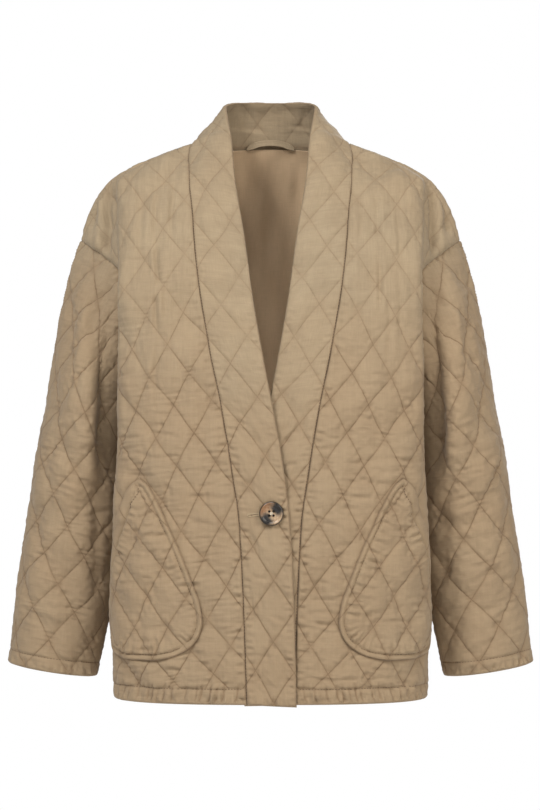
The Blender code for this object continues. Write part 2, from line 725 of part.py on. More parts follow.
def button():
    """A four-hole button: a turned disc with a raised rim, its face to the front."""
    runs = np.linspace(150, 300, 60)
    run = min(runs, key=lambda a: abs(band_point(a, 0.5)[2] - BUTTON_Z))
    shares = np.linspace(0.3, 1, 60)
    share = min(shares, key=lambda w: abs(band_point(run, w)[0] - BUTTON_X))
    seat_y = band_point(run, share)[1] - WALL - PUFF - 0.4
    r, deep, rim = BUTTON_RADIUS, BUTTON_DEPTH, BUTTON_RIM
    profile = ((0, -deep + 1.2), (r - rim - 2.5, -deep + 1.2), (r - rim, -deep + 0.5),
               (r - rim + 0.8, -deep), (r - 0.8, -deep + 0.3), (r, -deep + 1.4),
               (r - 0.6, -1.0), (r - 3, 0), (0, 0))
    mesh = bpy.data.meshes.new("button")
    mesh.from_pydata([(x * MM, y * MM, 0) for x, y in profile], [(k, k + 1) for k in range(8)], [])
    disc = add_object("button", mesh, "button_horn")
    screw = disc.modifiers.new("turn", "SCREW")
    screw.axis = "Y"
    screw.steps = screw.render_steps = 32
    screw.use_merge_vertices = True
    screw.merge_threshold = 0.00005
    disc.location = (BUTTON_X * MM, seat_y * MM, BUTTON_Z * MM)
    for k in range(4):
        angle = math.pi / 4 + k * math.pi / 2
        x = BUTTON_X + BUTTON_HOLE_OFFSET * math.cos(angle)
        z = BUTTON_Z + BUTTON_HOLE_OFFSET * math.sin(angle)
        bpy.ops.mesh.primitive_cylinder_add(
            vertices=10, radius=BUTTON_HOLE * MM, depth=30 * MM,
            location=(x * MM, seat_y * MM, z * MM), rotation=(math.pi / 2, 0, 0))
        cutter = bpy.context.active_object
        cutter.name = f"button_hole_{k}"
        cutter.hide_render = True
        cutter.display_type = "WIRE"
        file_under(cutter, CUTTERS)
        cut = disc.modifiers.new("hole", "BOOLEAN")
        cut.operation = "DIFFERENCE"
        cut.object = cutter


def hanger_loop():
    """A flat strip that arches from the neck seam, inside the collar."""
    line = through(LOOP_LINE, 15)
    vertices = []
    for x, y, z in line:
        vertices += [(x * MM, y * MM, (z - LOOP_WIDTH / 2) * MM),
                     (x * MM, y * MM, (z + LOOP_WIDTH / 2) * MM)]
    faces = [(2 * k, 2 * k + 2, 2 * k + 3, 2 * k + 1) for k in range(len(line) - 1)]
    mesh = bpy.data.meshes.new("hanger_loop")
    mesh.from_pydata(vertices, [], faces)
    strip = add_object("hanger_loop", mesh, "quilted_cloth")
    thick = strip.modifiers.new("thickness", "SOLIDIFY")
    thick.thickness = LOOP_DEPTH * MM
    thick.offset = 0


# Scene ----------------------------------------------------------------------------------------

def file_under(thing, collection):
    for owner in list(thing.users_collection):
        owner.objects.unlink(thing)
    collection.objects.link(thing)


def material(name, colour, roughness):
    made = bpy.data.materials.new(name)
    made.use_nodes = True
    shader = made.node_tree.nodes["Principled BSDF"]
    shader.inputs["Base Color"].default_value = (*colour, 1)
    shader.inputs["Roughness"].default_value = roughness
    shader.inputs["Metallic"].default_value = 0
    return made


def add_object(name, mesh, finish):
    made = bpy.data.objects.new(name, mesh)
    mesh.materials.append(MATERIALS[finish])
    JACKET.objects.link(made)
    return made


for old in list(bpy.data.objects):
    bpy.data.objects.remove(old)
JACKET = bpy.data.collections.new("quilted_jacket")
CUTTERS = bpy.data.collections.new("cutters")
bpy.context.scene.collection.children.link(JACKET)
bpy.context.scene.collection.children.link(CUTTERS)
MATERIALS = {"quilted_cloth": material("quilted_cloth", (0.45, 0.34, 0.21), 0.9),
             "lining_cloth": material("lining_cloth", (0.38, 0.28, 0.17), 0.7),
             "button_horn": material("button_horn", (0.10, 0.05, 0.025), 0.35)}
cloth()
button()
hanger_loop()
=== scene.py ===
import math

import bpy
import numpy as np
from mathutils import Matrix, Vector
from mathutils.geometry import delaunay_2d_cdt
from mathutils.kdtree import KDTree


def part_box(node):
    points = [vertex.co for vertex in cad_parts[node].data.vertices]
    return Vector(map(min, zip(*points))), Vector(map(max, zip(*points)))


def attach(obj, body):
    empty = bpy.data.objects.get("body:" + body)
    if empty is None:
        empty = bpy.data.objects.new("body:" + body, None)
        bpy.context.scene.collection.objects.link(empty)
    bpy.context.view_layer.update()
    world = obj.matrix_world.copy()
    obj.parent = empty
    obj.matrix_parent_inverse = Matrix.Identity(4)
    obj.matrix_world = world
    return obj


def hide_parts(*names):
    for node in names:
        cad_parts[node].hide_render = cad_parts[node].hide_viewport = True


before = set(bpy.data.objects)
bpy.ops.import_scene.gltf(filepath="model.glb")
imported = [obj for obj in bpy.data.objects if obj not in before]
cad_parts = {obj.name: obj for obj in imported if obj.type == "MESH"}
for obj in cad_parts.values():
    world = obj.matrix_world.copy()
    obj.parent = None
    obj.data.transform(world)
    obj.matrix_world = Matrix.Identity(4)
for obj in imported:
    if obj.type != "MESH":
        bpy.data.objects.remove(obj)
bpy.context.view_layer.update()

MM = 0.001

# Quilt lattice: half diamonds across and along
FRONT_HALF, BACK_HALF = (23.0, 34.8), (23.3, 34.8)
BAND_ACROSS, BAND_ALONG = 23.5, 35.4
FRONT_CROSSING_X, FRONT_CROSSING_Z = 124.0, -174.5
FRONT_TILT = 0.13         # the rows drop this much for each millimetre towards the side
FRONT_LEAN = 0.079        # and the columns lean this much towards the centre on their way down
# A crossing of each sleeve from the overarm line and up from the cuff, its half diamond and lean
SLEEVE_LATTICE = {"right": ((52.0, 73.5), (24.3, 34.35), 0.093),
                  "left": ((88.0, 16.5), (26.5, 36.6), 0.077)}
BAND_CROSSING = (21.0, 40.0)     # from the seam, and up from the hem
BAND_DRIFT, DRIFT_REACH = 11.0, 450.0    # the band's lattice moves to the seam, down to the hem
NECK_REACH = 75.0         # the band's lattice stands upright this far from the middle of the neck
NECK_CROSSING = (-15.2, 29.0)    # from the middle, and up from the seam
NECK_HALF = (25.7, 35.0)
POCKET_CROSSING, POCKET_LEAN = (161.4, 88.7), 0.15
LINE_GAP = 38.4           # between neighbouring stitch lines of one family
WANDER, WANDER_WAVE = 1.0, 90.0  # how far the stitch lines stray, and over what length

# Heights and seams of the body
HEM_Z = -656.0
UNDERARM_Z = -290.0
SHOULDER_TIP_Z = -115.0
NECK_Z, NEAR_NECK_Z = 0.0, -0.01
SIDE_Y = 5.0
BAND_WIDTH = 58.0
BAND_RAISE = 6.5          # the right band's free edge stands this far out of the front
BAND_SINK = 5.5           # and the left one's this far behind it
OVERLAP_TOP, OVERLAP_FADE = -160.0, 100.0    # both begin at a height, and are full lower down
NECK_LIFT = 5.0

# Points: on a section's two stretches, on each surface, along outlines and across the quilting
QUARTER_POINTS, TURN_POINTS = 240, 90
BODY_GRID, SLEEVE_GRID, BAND_GRID = (340, 160), (290, 241), (640, 30)
CURVE_POINTS, CLIMB_POINTS, HEM_POINTS, DITCH_POINTS = 400, 300, 300, 900
EDGE_STEP = 2.6
EDGE_RINGS = (0.5, 1.4, 2.8)
EDGE_CLEAR = EDGE_RINGS[-1] + 0.8
STITCH_ROWS = (-1.3, 0.0, 1.3)
STITCH_CLEAR = 0.9
HEM_ROWS, HEM_STEP = (4.4, 6.2, 8.0, 9.8, 11.6, 13.4), 1.25
SHARES = (0, .02, .05, .09, .135, .18, .225, .27, .32, .37, .42, .47,
          .53, .58, .63, .68, .73, .775, .82, .865, .91, .95, .98)
COARSE_SHARES = (0, .03, .08, .15, .23, .32, .41, .5, .59, .68, .77, .85, .92, .97)
PLAIN_SHARES = (0, 0.17, 0.33, 0.5, 0.67, 0.83)

# Cloth
WALL, PUFF, CALM_PUFF = 2.0, 3.5, 2.3
EDGE_WALL = 0.6           # what is left of the wall right at an edge
EDGE_ROLL = 3.0           # the cloth rolls over its edges within this
EVEN_OUT = 0.84           # the quilting is this much flatter where the cloth is bent round
WAVES = 8
TIP_PUCKER, STITCH_PUCKER, SEAM_PUCKER, HEM_PUCKER = 0.55, 0.5, 0.8, 1.2
GATHER_STEP, GATHER_DEPTH = 10.5, 1.7     # the strongest puckers of the hems
LEVEL_WRINKLE = 0.7
CALM_SHARE, CALM_FADE = 0.35, 240.0    # the cloth puckers less above a height, and more below it
FRONT_CALM, BACK_CALM, BAND_CALM, SLEEVE_CALM = -120.0, -120.0, -190.0, -10.0
CREASE_BOW = 0.03
BODY_HEM, CUFF_HEM = 18.0, 17.0
POCKET_SEAT = 3.1         # from the front's inside to the pocket's
POCKET_RIM, POCKET_MOUTH = 6.0, 14.0
BAND_INNER_PUFF = 1.3     # how far the band's quilting stands out of its inside
LINING_GAP, LINING_WALL, LINING_MARGIN, NECK_MARGIN = 4.0, 0.8, 26.0, 2.5

# Sewing
THREAD_SIDES = 6
STITCH_PITCH, STITCH_LENGTH, STITCH_RADIUS = 3.4, 2.5, 0.36
POCKET_STITCH, BAND_STITCH = 0.42, 0.34
DITCH = 0.7               # the band's stitches lie this far from its seam
BUTTONHOLE = ((-25.0, -438.6), (2.0, -435.2))
SLIT_HALF, SLIT_PITCH, SLIT_STITCH, SLIT_END = 0.35, 0.62, 1.9, 2.2
SLIT_THREAD, SLIT_RADIUS, SLIT_LIFT = 0.34, 0.7, 0.2
# The second value is the radius of the near-black plugs that paint the shade inside the button's
# holes.
CROSS_THREAD, HOLE_SHADE_RADIUS = 0.42, 1.8

# Button and hanger loop
BUTTON_RADIUS, BUTTON_X, BUTTON_Z = 14.0, 1.0, -436.0
BUTTON_SIDES, HOLE_SIDES = 96, 16
BUTTON_HOLE, BUTTON_HOLE_OFFSET = 1.5, 3.3
BUTTON_RADII = (0, 7.5, 8.6, 9.6, 10.4, 11.0, 11.5, 12.2, 12.8, 13.3, 13.7, 14.0)
BUTTON_FACE = (3.0, 3.0, 3.05, 3.2, 3.5, 3.95, 4.2, 4.25, 4.1, 3.75, 3.1, 2.0)
BUTTON_UNDER = (0, 0, 0, 0, 0, 0.05, 0.15, 0.35, 0.55, 0.8, 1.1, 1.6)
LOOP_WIDTH, LOOP_DEPTH = 7.0, 2.2
LOOP_POINTS, LOOP_SIDES = 61, 28
LOOP_LINE = ((-29, 61.5, 0.5), (-22, 60.5, 4.2), (-12, 60, 7.4), (0, 59.5, 8.4),
             (12, 60, 7.4), (22, 60.5, 4.2), (29, 61.5, 0.5))

# Colours, linear
CLOTH_PALE = (0.366, 0.287, 0.188, 1)
CLOTH_DARK = (0.328, 0.252, 0.162, 1)
CLOTH_WARM = (0.360, 0.262, 0.160, 1)
# The next two colours are painted shade: over the puckered lower parts, and in ditches, seams,
# gathers and along the pocket's outline.
CLOTH_PAINTED_LOW_SHADE = (0.318, 0.216, 0.126, 1)
CLOTH_PAINTED_SHADE = (0.230, 0.155, 0.090, 1)
THREAD_BROWN = (0.150, 0.092, 0.050, 1)
# The two darkest threads are painted shade: the black one plugs the button's holes from beneath, the
# other lies in the buttonhole's slit.
THREADS = {"tan": (0.42, 0.32, 0.20, 1), "pale": (0.75, 0.66, 0.52, 1), "brown": THREAD_BROWN,
           "slit_shade": (0.095, 0.055, 0.028, 1), "black": (0.012, 0.008, 0.006, 1)}
LINING_PALE = (0.66, 0.475, 0.292, 1)
LINING_DARK = (0.52, 0.366, 0.222, 1)
HORN_CREAM, HORN_BROWN = (0.52, 0.38, 0.24, 1), (0.33, 0.21, 0.12, 1)
HORN_AMBER, HORN_BLACK = (0.26, 0.125, 0.052, 1), (0.008, 0.006, 0.005, 1)
QUILT_LINE, QUILT_STITCH = (0.24, 0.5), 3.4

# Light: each lamp's place, aim and width in metres, its power and its colour
LAMPS = (
    ("key", (-1.3, -2.05, 1.55), (0, 0, -0.35), 0.7, 45.5, (1, 1, 1)),
    ("top", (-0.1, -2.2, 1.75), (0, 0, -0.3), 0.7, 22.5, (1, 1, 1)),
    ("fill", (1.6, -2.0, 0.7), (0, 0, -0.35), 1.2, 28.5, (1.0, 0.94, 0.86)),
    ("back", (0.9, 2.6, 1.0), (0, 0, -0.3), 1.2, 50, (1, 1, 1)))
WORLD_LIGHT, WORLD_DIM = (1, 1, 1, 1), (0.10, 0.08, 0.06, 1)
WORLD_BAND = (0.168, 0.20)     # the light stands round the horizon and fades above and below it
FLOOR_Z, FLOOR_RADIUS, FLOOR_COLOUR = -1380.0, 3.4, (0.9, 0.9, 0.89, 1)

# Camera: level and far off; its frame is 810 pixels high, of 1.2 mm each where Y is 0
FRAME_HEIGHT, PIXEL = 810, 1.2
CAMERA_AWAY, CAMERA_X, CAMERA_Z, SENSOR = 3000.0, -0.6, -312.0, 36.0


def table(names, rows):
    """Columns by name, from rows whose first value rises or falls steadily."""
    return dict(zip(names.split(), np.array(sorted(rows), float).T))


# The half section of the fronts at each height: a rounded quarter from the centre to the crest
# of the fold below the shoulder, then the turn back to the side seam or the armhole.
FRONT_FORM = table("z centre_y crest_x crest_y end_out", (
    (-656, -134, 181.5, -42, 0.0),
    (-600, -135, 182.0, -49, 0.0),
    (-560, -135, 182.5, -52, 0.0),
    (-450, -133, 181.0, -62, 0.0),
    (-350, -127, 175.5, -72, 0.0),
    (-290, -121, 175.0, -78, -0.05),
    (-240, -114, 174.5, -80, -0.2),
    (-190, -105, 174.0, -79, -0.2),
    (-150, -96, 174.5, -70, 0.0),
    (-115, -86, 176.0, -55, 0.25),
    (-80, -70, 178.0, -36, 0.1),
    (-50, -51, 180.0, -18, 0.0),
    (-20, -22, 139.0, -3, 0.0),
    (0, 0, 92.0, 0, 0.0)))

BACK_FORM = table("z centre_y crest_x crest_y end_out", (
    (-656, 133, 183.5, 50, 0.0),
    (-560, 131, 180.0, 55, 0.0),
    (-450, 127, 172.0, 62, 0.0),
    (-350, 122, 167.0, 70, 0.0),
    (-290, 120, 167.0, 78, -0.05),
    (-240, 118, 169.0, 84, -0.15),
    (-190, 116, 174.0, 84, -0.1),
    (-150, 112, 178.0, 76, 0.1),
    (-115, 107, 183.0, 60, 0.2),
    (-80, 99, 185.0, 43, 0.1),
    (-50, 90, 181.0, 24, 0.0),
    (-20, 77, 140.0, 9, 0.0),
    (0, 68, 92.0, 1, 0.0)))

# How far the front's quilt rows stray up from an even spacing, by the length below the first one.
FRONT_ROWS = table("down shift", (
    (0, 1.5), (60, 1.5), (110, 0), (170, -0.5), (250, -3), (300, -5), (390, -5), (450, 0),
    (500, 5), (560, 6)))

SIDE_SEAM = table("z x", ((-656, 184), (-560, 178), (-450, 168), (-350, 158), (-290, 157)))
SHOULDER = table("z x y", (
    (-115, 225, 5), (-90, 218, 5), (-68, 208, 5), (-45.5, 191.5, 5), (-33, 174, 4),
    (-20.5, 149, 3), (-9, 121, 2), (0, 93, 0)))
NECK_X = SHOULDER["x"][-1]
ARMHOLE_FRONT = table("z x y", (
    (-290, 157, 5), (-262, 161, -28), (-230, 165, -46), (-200, 168, -53), (-175, 171, -51),
    (-152, 176, -41), (-134, 196, -27), (-122, 213, -11), (-115, 225, 5)))
ARMHOLE_BACK = table("z x y", (
    (-290, 157, 5), (-262, 161, 40), (-226, 166, 64), (-190, 172, 68), (-157, 182, 59),
    (-136, 199, 43), (-123, 214, 24), (-115, 225, 5)))
BAND_SEAM = table("z x", (
    (-656, 27), (-545, 30.7), (-448, 35.7), (-389, 44), (-322, 55), (-243, 71), (-153, 85.5),
    (-91, 91), (-20, 96.5), (0, 93)))

# Front and back: the form, how square its quarter is, its armhole and which way its turn goes
FRONT_PART, BACK_PART = (FRONT_FORM, 2.6, ARMHOLE_FRONT, 1), (BACK_FORM, 2.4, ARMHOLE_BACK, -1)

# The band's free edge, hem to the middle of the back neck, on the side whose X is positive.
BAND_EDGE = (
    (-30, -134, -658), (-27.4, -135, -545), (-22.8, -133, -454), (-14.7, -130, -382),
    (-2, -124, -311), (7.3, -118, -263), (21.2, -104, -182), (29.5, -88, -120),
    (42.2, -56, -40), (46, -27, 4), (53, 14, 47), (36, 38, 54.5), (0, 48, 55.5))
BAND_BULGE = table("share bulge", ((0, 1), (0.6, 2), (0.8, 5), (0.88, 8), (1.0, 4)))

# Rings of the sleeve, cuff first: centre, half width across the arm, half depth, tilt.
SLEEVE_RINGS = (
    (262.7, 16, -629.8, 50.5, 44, 9.0),
    (250.0, 18, -548, 54.0, 52, 10.0),
    (236.0, 19, -450, 53.5, 60, 10.0),
    (225.9, 16, -350, 47.5, 68, 10.0))
SLEEVE_GIRTH = table("up girth", (
    (0, 298), (80, 333), (180, 357), (280, 376), (350, 410), (520, 470)))
# How a sleeve's lengthwise line leaves the cuff, and how it arrives at the armhole: overarm,
# front or back, underarm.
SLEEVE_START = (-16, 0, 84)
SLEEVE_ARRIVAL = table("turn x y z", (
    (0, -66, 0, 142), (0.5, -85, 4, 45), (0.8, -75, 2, 8), (1, -60, 0, -4)))

POCKET_CENTRE_X, POCKET_BOTTOM_Z = 149.5, -606.0
POCKET_SHAPE = table("up half", (
    (0, 20), (5, 43), (18, 64), (31, 72.5), (45, 75.5), (64, 73), (84, 66), (118, 53),
    (158, 34), (190, 18), (203, 9), (209, 0)))

# Creases on a front, seen from the front: X from the centre, Z, the same at the end, width, depth.
RIGHT_CREASES = (
    (131, -58, 134, -118, 2.8, 2.6), (112, -42, 114, -132, 3.0, 2.6),
    (133, -118, 128, -178, 2.6, 3.3), (132, -180, 130, -232, 2.6, 3.0),
    (121, -170, 120, -215, 2.8, 2.2), (147, -58, 150, -150, 4, 2.4),
    (129, -236, 131, -312, 3.2, 2.0), (84, -418, 41, -419, 3, 1.6),
    (60, -452, 98, -446, 3, 1.5), (46, -505, 88, -512, 3, 1.4))
LEFT_CREASES = (
    (122, -58, 124, -126, 3.0, 2.6), (125, -130, 124, -212, 2.8, 2.9),
    (147, -70, 148, -150, 3.4, 2.4), (146, -152, 149, -232, 3.2, 2.0),
    (104, -66, 103, -128, 3.0, 1.6), (136, -190, 134, -270, 3.2, 1.8),
    (92, -90, 90, -160, 4, 1.3), (34, -439, 86, -456, 3, 1.8), (63, -488, 86, -488, 2.5, 1.4),
    (40, -537, 86, -537, 2.5, 1.4), (40, -629, 100, -629, 2.5, 1.2))
SHOULDER_CREASES = (
    (186, -15, 181, -330, 4.5, 6.0), (194, -54, 189, -110, 4, 2.6), (206, -66, 211, -112, 4, 2.2))
SLEEVE_CREASES = (
    (186, -140, 189, -430, 12, 13.0), (205, -190, 207, -262, 4, 3.0),
    (200, -300, 203, -420, 6, 3.0), (204, -420, 206, -540, 7, 3.0))
LINING_FOLDS = (
    (-17, 2, -23, -150, 8, 3.6), (26, -2, 20, -60, 5, 2.2), (-38, -4, -44, -160, 7, 2.4),
    (42, -4, 34, -190, 8, 2.8), (4, -90, 8, -300, 9, 2.4), (-12, -140, -8, -330, 7, 2.0))
# On the band: along from its middle and out from the seam, and the same at the other end. Then
# for each side, where the wearer's right is 1: up from the hem and out from the seam.
NECK_CREASES = (
    (-41, 54, -40, 18, 2.6, 2.4), (36, 54, 33, 24, 3, 1.6), (-20, 50, -17, 24, 3, 1.0),
    (-60, 20, 0, 13, 2.4, 1.0), (12, 22, 58, 16, 2.4, 1.0))
BAND_CREASES = (
    (1, 318, 12, 290, 34, 3.2, 1.6), (1, 292, 30, 250, 44, 3.5, 1.6), (1, 215, 30, 175, 34, 4, 1.6),
    (1, 330, 6, 326, 30, 2.4, 1.2), (1, 150, 8, 146, 34, 2.4, 1.2), (1, 105, 28, 99, 52, 2.4, 1.2),
    (1, 60, 6, 57, 34, 2.4, 1.1), (0, 330, 10, 300, 36, 3.0, 1.5), (0, 380, 8, 376, 40, 2.4, 1.2),
    (0, 280, 8, 272, 44, 2.4, 1.3), (0, 240, 6, 236, 34, 2.4, 1.2))


# Curves ---------------------------------------------------------------------------------------

def join(*parts):
    return np.concatenate(parts)


def beside(*columns):
    """Points from their columns, any of which may be a single number."""
    return np.stack(np.broadcast_arrays(*columns), -1)


def smoothstep(u):
    u = np.clip(u, 0, 1)
    return u * u * (3 - 2 * u)


def bell(away, width):
    """1 where away is nothing, dying out over a width."""
    return np.exp(-(away / width) ** 2)


def unit(ways):
    return ways / np.linalg.norm(ways, axis=1)[:, None]


def turned(count):
    """Cosine and sine at equal steps round a circle."""
    turn = np.linspace(0, 2 * math.pi, count, endpoint=False)
    return np.cos(turn), np.sin(turn)


def cubic(start, leave, end, arrive, u):
    """A smooth way from a start to an end, by its slopes at both."""
    return (start * (1 + 2 * u) * (1 - u) ** 2 + leave * u * (1 - u) ** 2
            + end * u * u * (3 - 2 * u) + arrive * u * u * (u - 1))


def read(form, name, at):
    """One column of a table as a smooth curve that never overshoots its rows."""
    knots, values = next(iter(form.values())), form[name]
    step = np.diff(values) / np.diff(knots)
    before, after = step[:-1], step[1:]
    same = before * after > 0
    inner = np.where(same, 2 * before * after / np.where(same, before + after, 1.0), 0.0)
    slope = join(step[:1], inner, step[-1:])
    at = np.clip(at, knots[0], knots[-1])
    row = np.clip(np.searchsorted(knots, at) - 1, 0, len(knots) - 2)
    width = knots[row + 1] - knots[row]
    u = (at - knots[row]) / width
    return cubic(values[row], slope[row] * width, values[row + 1], slope[row + 1] * width, u)


def lengths(points):
    """Distance along a line of points, at each point."""
    return join([0.0], np.cumsum(np.linalg.norm(np.diff(points, axis=0), axis=1)))


def along(points, distance):
    """The point at a distance along a line of points."""
    run = lengths(points)
    return np.stack([np.interp(distance, run, column) for column in points.T], -1)


def evenly(points, steps):
    """The same line with equal steps."""
    return along(points, np.linspace(0, lengths(points)[-1], steps + 1))


def through(points, count=CURVE_POINTS):
    """A smooth line through a few points."""
    points = np.array(points, float)
    run = lengths(points)
    at = np.linspace(0, run[-1], count)
    return beside(*(read({"run": run, "value": column}, "value", at) for column in points.T))


# Body surface ---------------------------------------------------------------------------------

def seam_end(z, armhole):
    """Where the half section ends at a height: side seam, armhole or shoulder."""
    if z <= UNDERARM_Z:
        return float(read(SIDE_SEAM, "x", z)), SIDE_Y
    ends = armhole if z < SHOULDER_TIP_Z else SHOULDER
    return float(read(ends, "x", z)), float(read(ends, "y", z))


def half_section(z, part):
    """The half section at a height, from the centre to the seam, as points."""
    form, square, armhole, towards = part
    end = np.array(seam_end(z, armhole))
    centre_y, crest_x, crest_y, out = (
        float(read(form, name, z)) for name in ("centre_y", "crest_x", "crest_y", "end_out"))
    crest_x = min(crest_x, end[0] - 0.5) if z > SHOULDER_TIP_Z else crest_x
    angle = np.linspace(0, math.pi / 2, QUARTER_POINTS)
    quarter = beside(crest_x * np.sin(angle) ** (2 / square),
                     crest_y + (centre_y - crest_y) * np.cos(angle) ** (2 / square))
    reach = 0.45 * abs(end[1] - crest_y)
    first = quarter[-1] + (0, towards * reach)
    second = end - np.array((out, towards)) * reach
    u = np.linspace(0, 1, TURN_POINTS)[1:, None]
    turn = ((1 - u) ** 3 * quarter[-1] + 3 * u * (1 - u) ** 2 * first
            + 3 * u * u * (1 - u) * second + u ** 3 * end)
    return beside(*join(quarter, turn).T, z)


def section_length(z, part):
    return lengths(half_section(min(z, NEAR_NECK_Z), part))[-1]


def climb_table(part):
    """Length up the centre line against height, which is the pattern's vertical."""
    z = np.linspace(HEM_Z, NECK_Z, CLIMB_POINTS)
    return z, lengths(beside(read(part[0], "centre_y", z), z))


def climb(z, part):
    return np.interp(z, *climb_table(part))


def height(up, part):
    """The other way round: the height at a length up the centre line."""
    return np.interp(up, *climb_table(part)[::-1])


# Surfaces: a grid of points for each panel, and the way to it from the flat pattern --------------

class Surface:
    """A panel's surface over a unit square, and the way there from the flat pattern."""

    def __init__(self, grid, to_unit, outward, mirrored=False):
        self.grid, self.to_unit, self.mirrored = grid, to_unit, mirrored
        normal = np.cross(np.gradient(grid, axis=1), np.gradient(grid, axis=0))
        normal /= np.maximum(np.linalg.norm(normal, axis=2), 1e-9)[:, :, None]
        middle = normal[grid.shape[0] // 3, grid.shape[1] // 2]
        self.normal = normal if middle @ np.array(outward) > 0 else -normal

    def read(self, table, flat):
        """The grid's value at places in the flat pattern, between its four nearest points."""
        rows, columns = table.shape[:2]
        u, v = self.to_unit(flat)
        column = np.clip(u, 0, 1) * (columns - 1)
        row = np.clip(v, 0, 1) * (rows - 1)
        left = np.minimum(column.astype(int), columns - 2)
        low = np.minimum(row.astype(int), rows - 2)
        x, y = (column - left)[:, None], (row - low)[:, None]
        return ((table[low, left] * (1 - x) + table[low, left + 1] * x) * (1 - y)
                + (table[low + 1, left] * (1 - x) + table[low + 1, left + 1] * x) * y)

    def at(self, flat):
        """Points and outward directions at places in the flat pattern."""
        points, normals = self.read(self.grid, flat), self.read(self.normal, flat)
        if self.mirrored:
            turn = np.where(flat[:, 0] < 0, -1, 1)[:, None] * (1, 0, 0) + np.array((0, 1, 1))
            points, normals = points * turn, normals * turn
        return points, unit(normals)


def body_surface(part, back):
    ups = np.linspace(0, climb(NECK_Z, part), BODY_GRID[0])
    rows, ends = [], []
    for z in height(ups, part):
        section = half_section(float(z), part)
        ends.append(lengths(section)[-1])
        row = along(section, np.linspace(0, ends[-1], BODY_GRID[1]))
        if back:
            lift = NECK_LIFT * np.maximum(0, 1 - (row[:, 0] / NECK_X) ** 2)
            row[:, 2] += lift * smoothstep(z / 60 + 1)
        rows.append(row)

    def to_unit(flat):
        return np.abs(flat[:, 0]) / np.interp(flat[:, 1], ups, ends), flat[:, 1] / ups[-1]

    return Surface(np.array(rows), to_unit, (0, 1 if back else -1, 0), mirrored=back)


def arm_loop(armhole):
    """Half of an armhole as a line, from the shoulder's tip to the underarm."""
    z = np.linspace(armhole["z"][0], armhole["z"][-1], CURVE_POINTS)
    return beside(read(armhole, "x", z), read(armhole, "y", z), z)[::-1]


def sleeve_line(turn):
    """A lengthwise line of the sleeve, cuff to armhole; turn runs from -1 at the underarm,
    by the back, to 0 over the arm and by the front to 1 at the underarm again."""
    angle = turn * math.pi
    knots = []
    for x, y, z, half_width, half_depth, tilt in SLEEVE_RINGS:
        tilt = math.radians(tilt)
        outward = half_width * math.cos(angle)
        knots.append((x + outward * math.cos(tilt), y - half_depth * math.sin(angle),
                      z + outward * math.sin(tilt)))
    loop = ARM_LOOP_FRONT if turn >= 0 else ARM_LOOP_BACK
    knots = np.array(knots + [along(loop, abs(turn) * lengths(loop)[-1])])
    slope = np.zeros_like(knots)
    slope[1:-1] = (knots[2:] - knots[:-2]) / 2
    slope[0] = SLEEVE_START
    arrival = [float(read(SLEEVE_ARRIVAL, name, abs(turn))) for name in ("x", "y", "z")]
    slope[-1] = np.array(arrival) * (1, math.copysign(1, turn), 1)
    last = np.linalg.norm(knots[-1] - knots[-2])
    slope[-2] *= min(1.0, 1.1 * last / np.linalg.norm(slope[-2]))
    u = np.linspace(0, 1, 60)[:-1, None]
    line = [cubic(knots[k], slope[k], knots[k + 1], slope[k + 1], u)
            for k in range(len(knots) - 1)]
    return join(*line, knots[-1:])


def girth(up):
    return read(SLEEVE_GIRTH, "girth", up)


def sleeve_surface():
    turns = np.linspace(-1, 1, SLEEVE_GRID[1])
    lines = [sleeve_line(turn) for turn in turns]
    reach = np.array([lengths(line)[-1] for line in lines])
    grid = [along(line, np.linspace(0, end, SLEEVE_GRID[0])) for line, end in zip(lines, reach)]

    def to_unit(flat):
        turn = np.clip(2 * flat[:, 0] / girth(flat[:, 1]), -1, 1)
        return (turn + 1) / 2, flat[:, 1] / np.interp(turn, turns, reach)

    made = Surface(np.array(grid).transpose(1, 0, 2), to_unit, (1, 0, 0))
    made.turns, made.reach = turns, reach
    return made


def band_row(distance, shares):
    """Points across the band: distance up from the right hem, round the neck, down to the left."""
    half = lengths(BAND_SEAM_LINE)[-1]
    side = -1 if distance < half else 1
    run = min(distance, 2 * half - distance)
    share = run / half
    seam = along(BAND_SEAM_LINE, run)
    edge = along(BAND_FREE, share * lengths(BAND_FREE)[-1])
    ahead = along(BAND_SEAM_LINE, min(run + 4, half)) - along(BAND_SEAM_LINE, max(run - 4, 0))
    out = np.cross(ahead, edge - seam)
    out = out / np.linalg.norm(out)
    out = out if (out[1] < 0 or share > 0.8) else -out
    bulge = 4 * shares * (1 - shares) * float(read(BAND_BULGE, "bulge", share))
    overlap = smoothstep((OVERLAP_TOP - seam[2]) / OVERLAP_FADE) * shares
    row = seam + (edge - seam) * shares[:, None] + out * bulge[:, None]
    row[:, 1] += (-BAND_RAISE if side < 0 else BAND_SINK) * overlap
    return row * (side, 1, 1)


def band_surface():
    reach = 2 * lengths(BAND_SEAM_LINE)[-1]
    shares = np.linspace(0, 1, BAND_GRID[1])
    grid = [band_row(distance, shares) for distance in np.linspace(0, reach, BAND_GRID[0])]

    def to_unit(flat):
        return flat[:, 1] / BAND_WIDTH, flat[:, 0] / reach

    made = Surface(np.array(grid), to_unit, (0, -1, 0))
    made.reach = reach
    return made


def across_at(x, z):
    """How far round the front section the given X is."""
    section = half_section(min(z, NEAR_NECK_Z), FRONT_PART)[:QUARTER_POINTS]
    return float(np.interp(x, section[:, 0], lengths(section)))


def band_across(z):
    """How far round the front section the band's seam is."""
    return across_at(float(read(BAND_SEAM, "x", z)), z)


def band_seam_line():
    """The band's seam from the hem to the middle of the back neck."""
    front_line = [along(half_section(min(z, NEAR_NECK_Z), FRONT_PART), band_across(z))
                  for z in np.linspace(HEM_Z, NECK_Z, CLIMB_POINTS)]
    neck = beside(np.linspace(section_length(NECK_Z, BACK_PART), 0, 60),
                  climb(NECK_Z, BACK_PART))
    return join(front_line, BACK.at(neck)[0][1:])


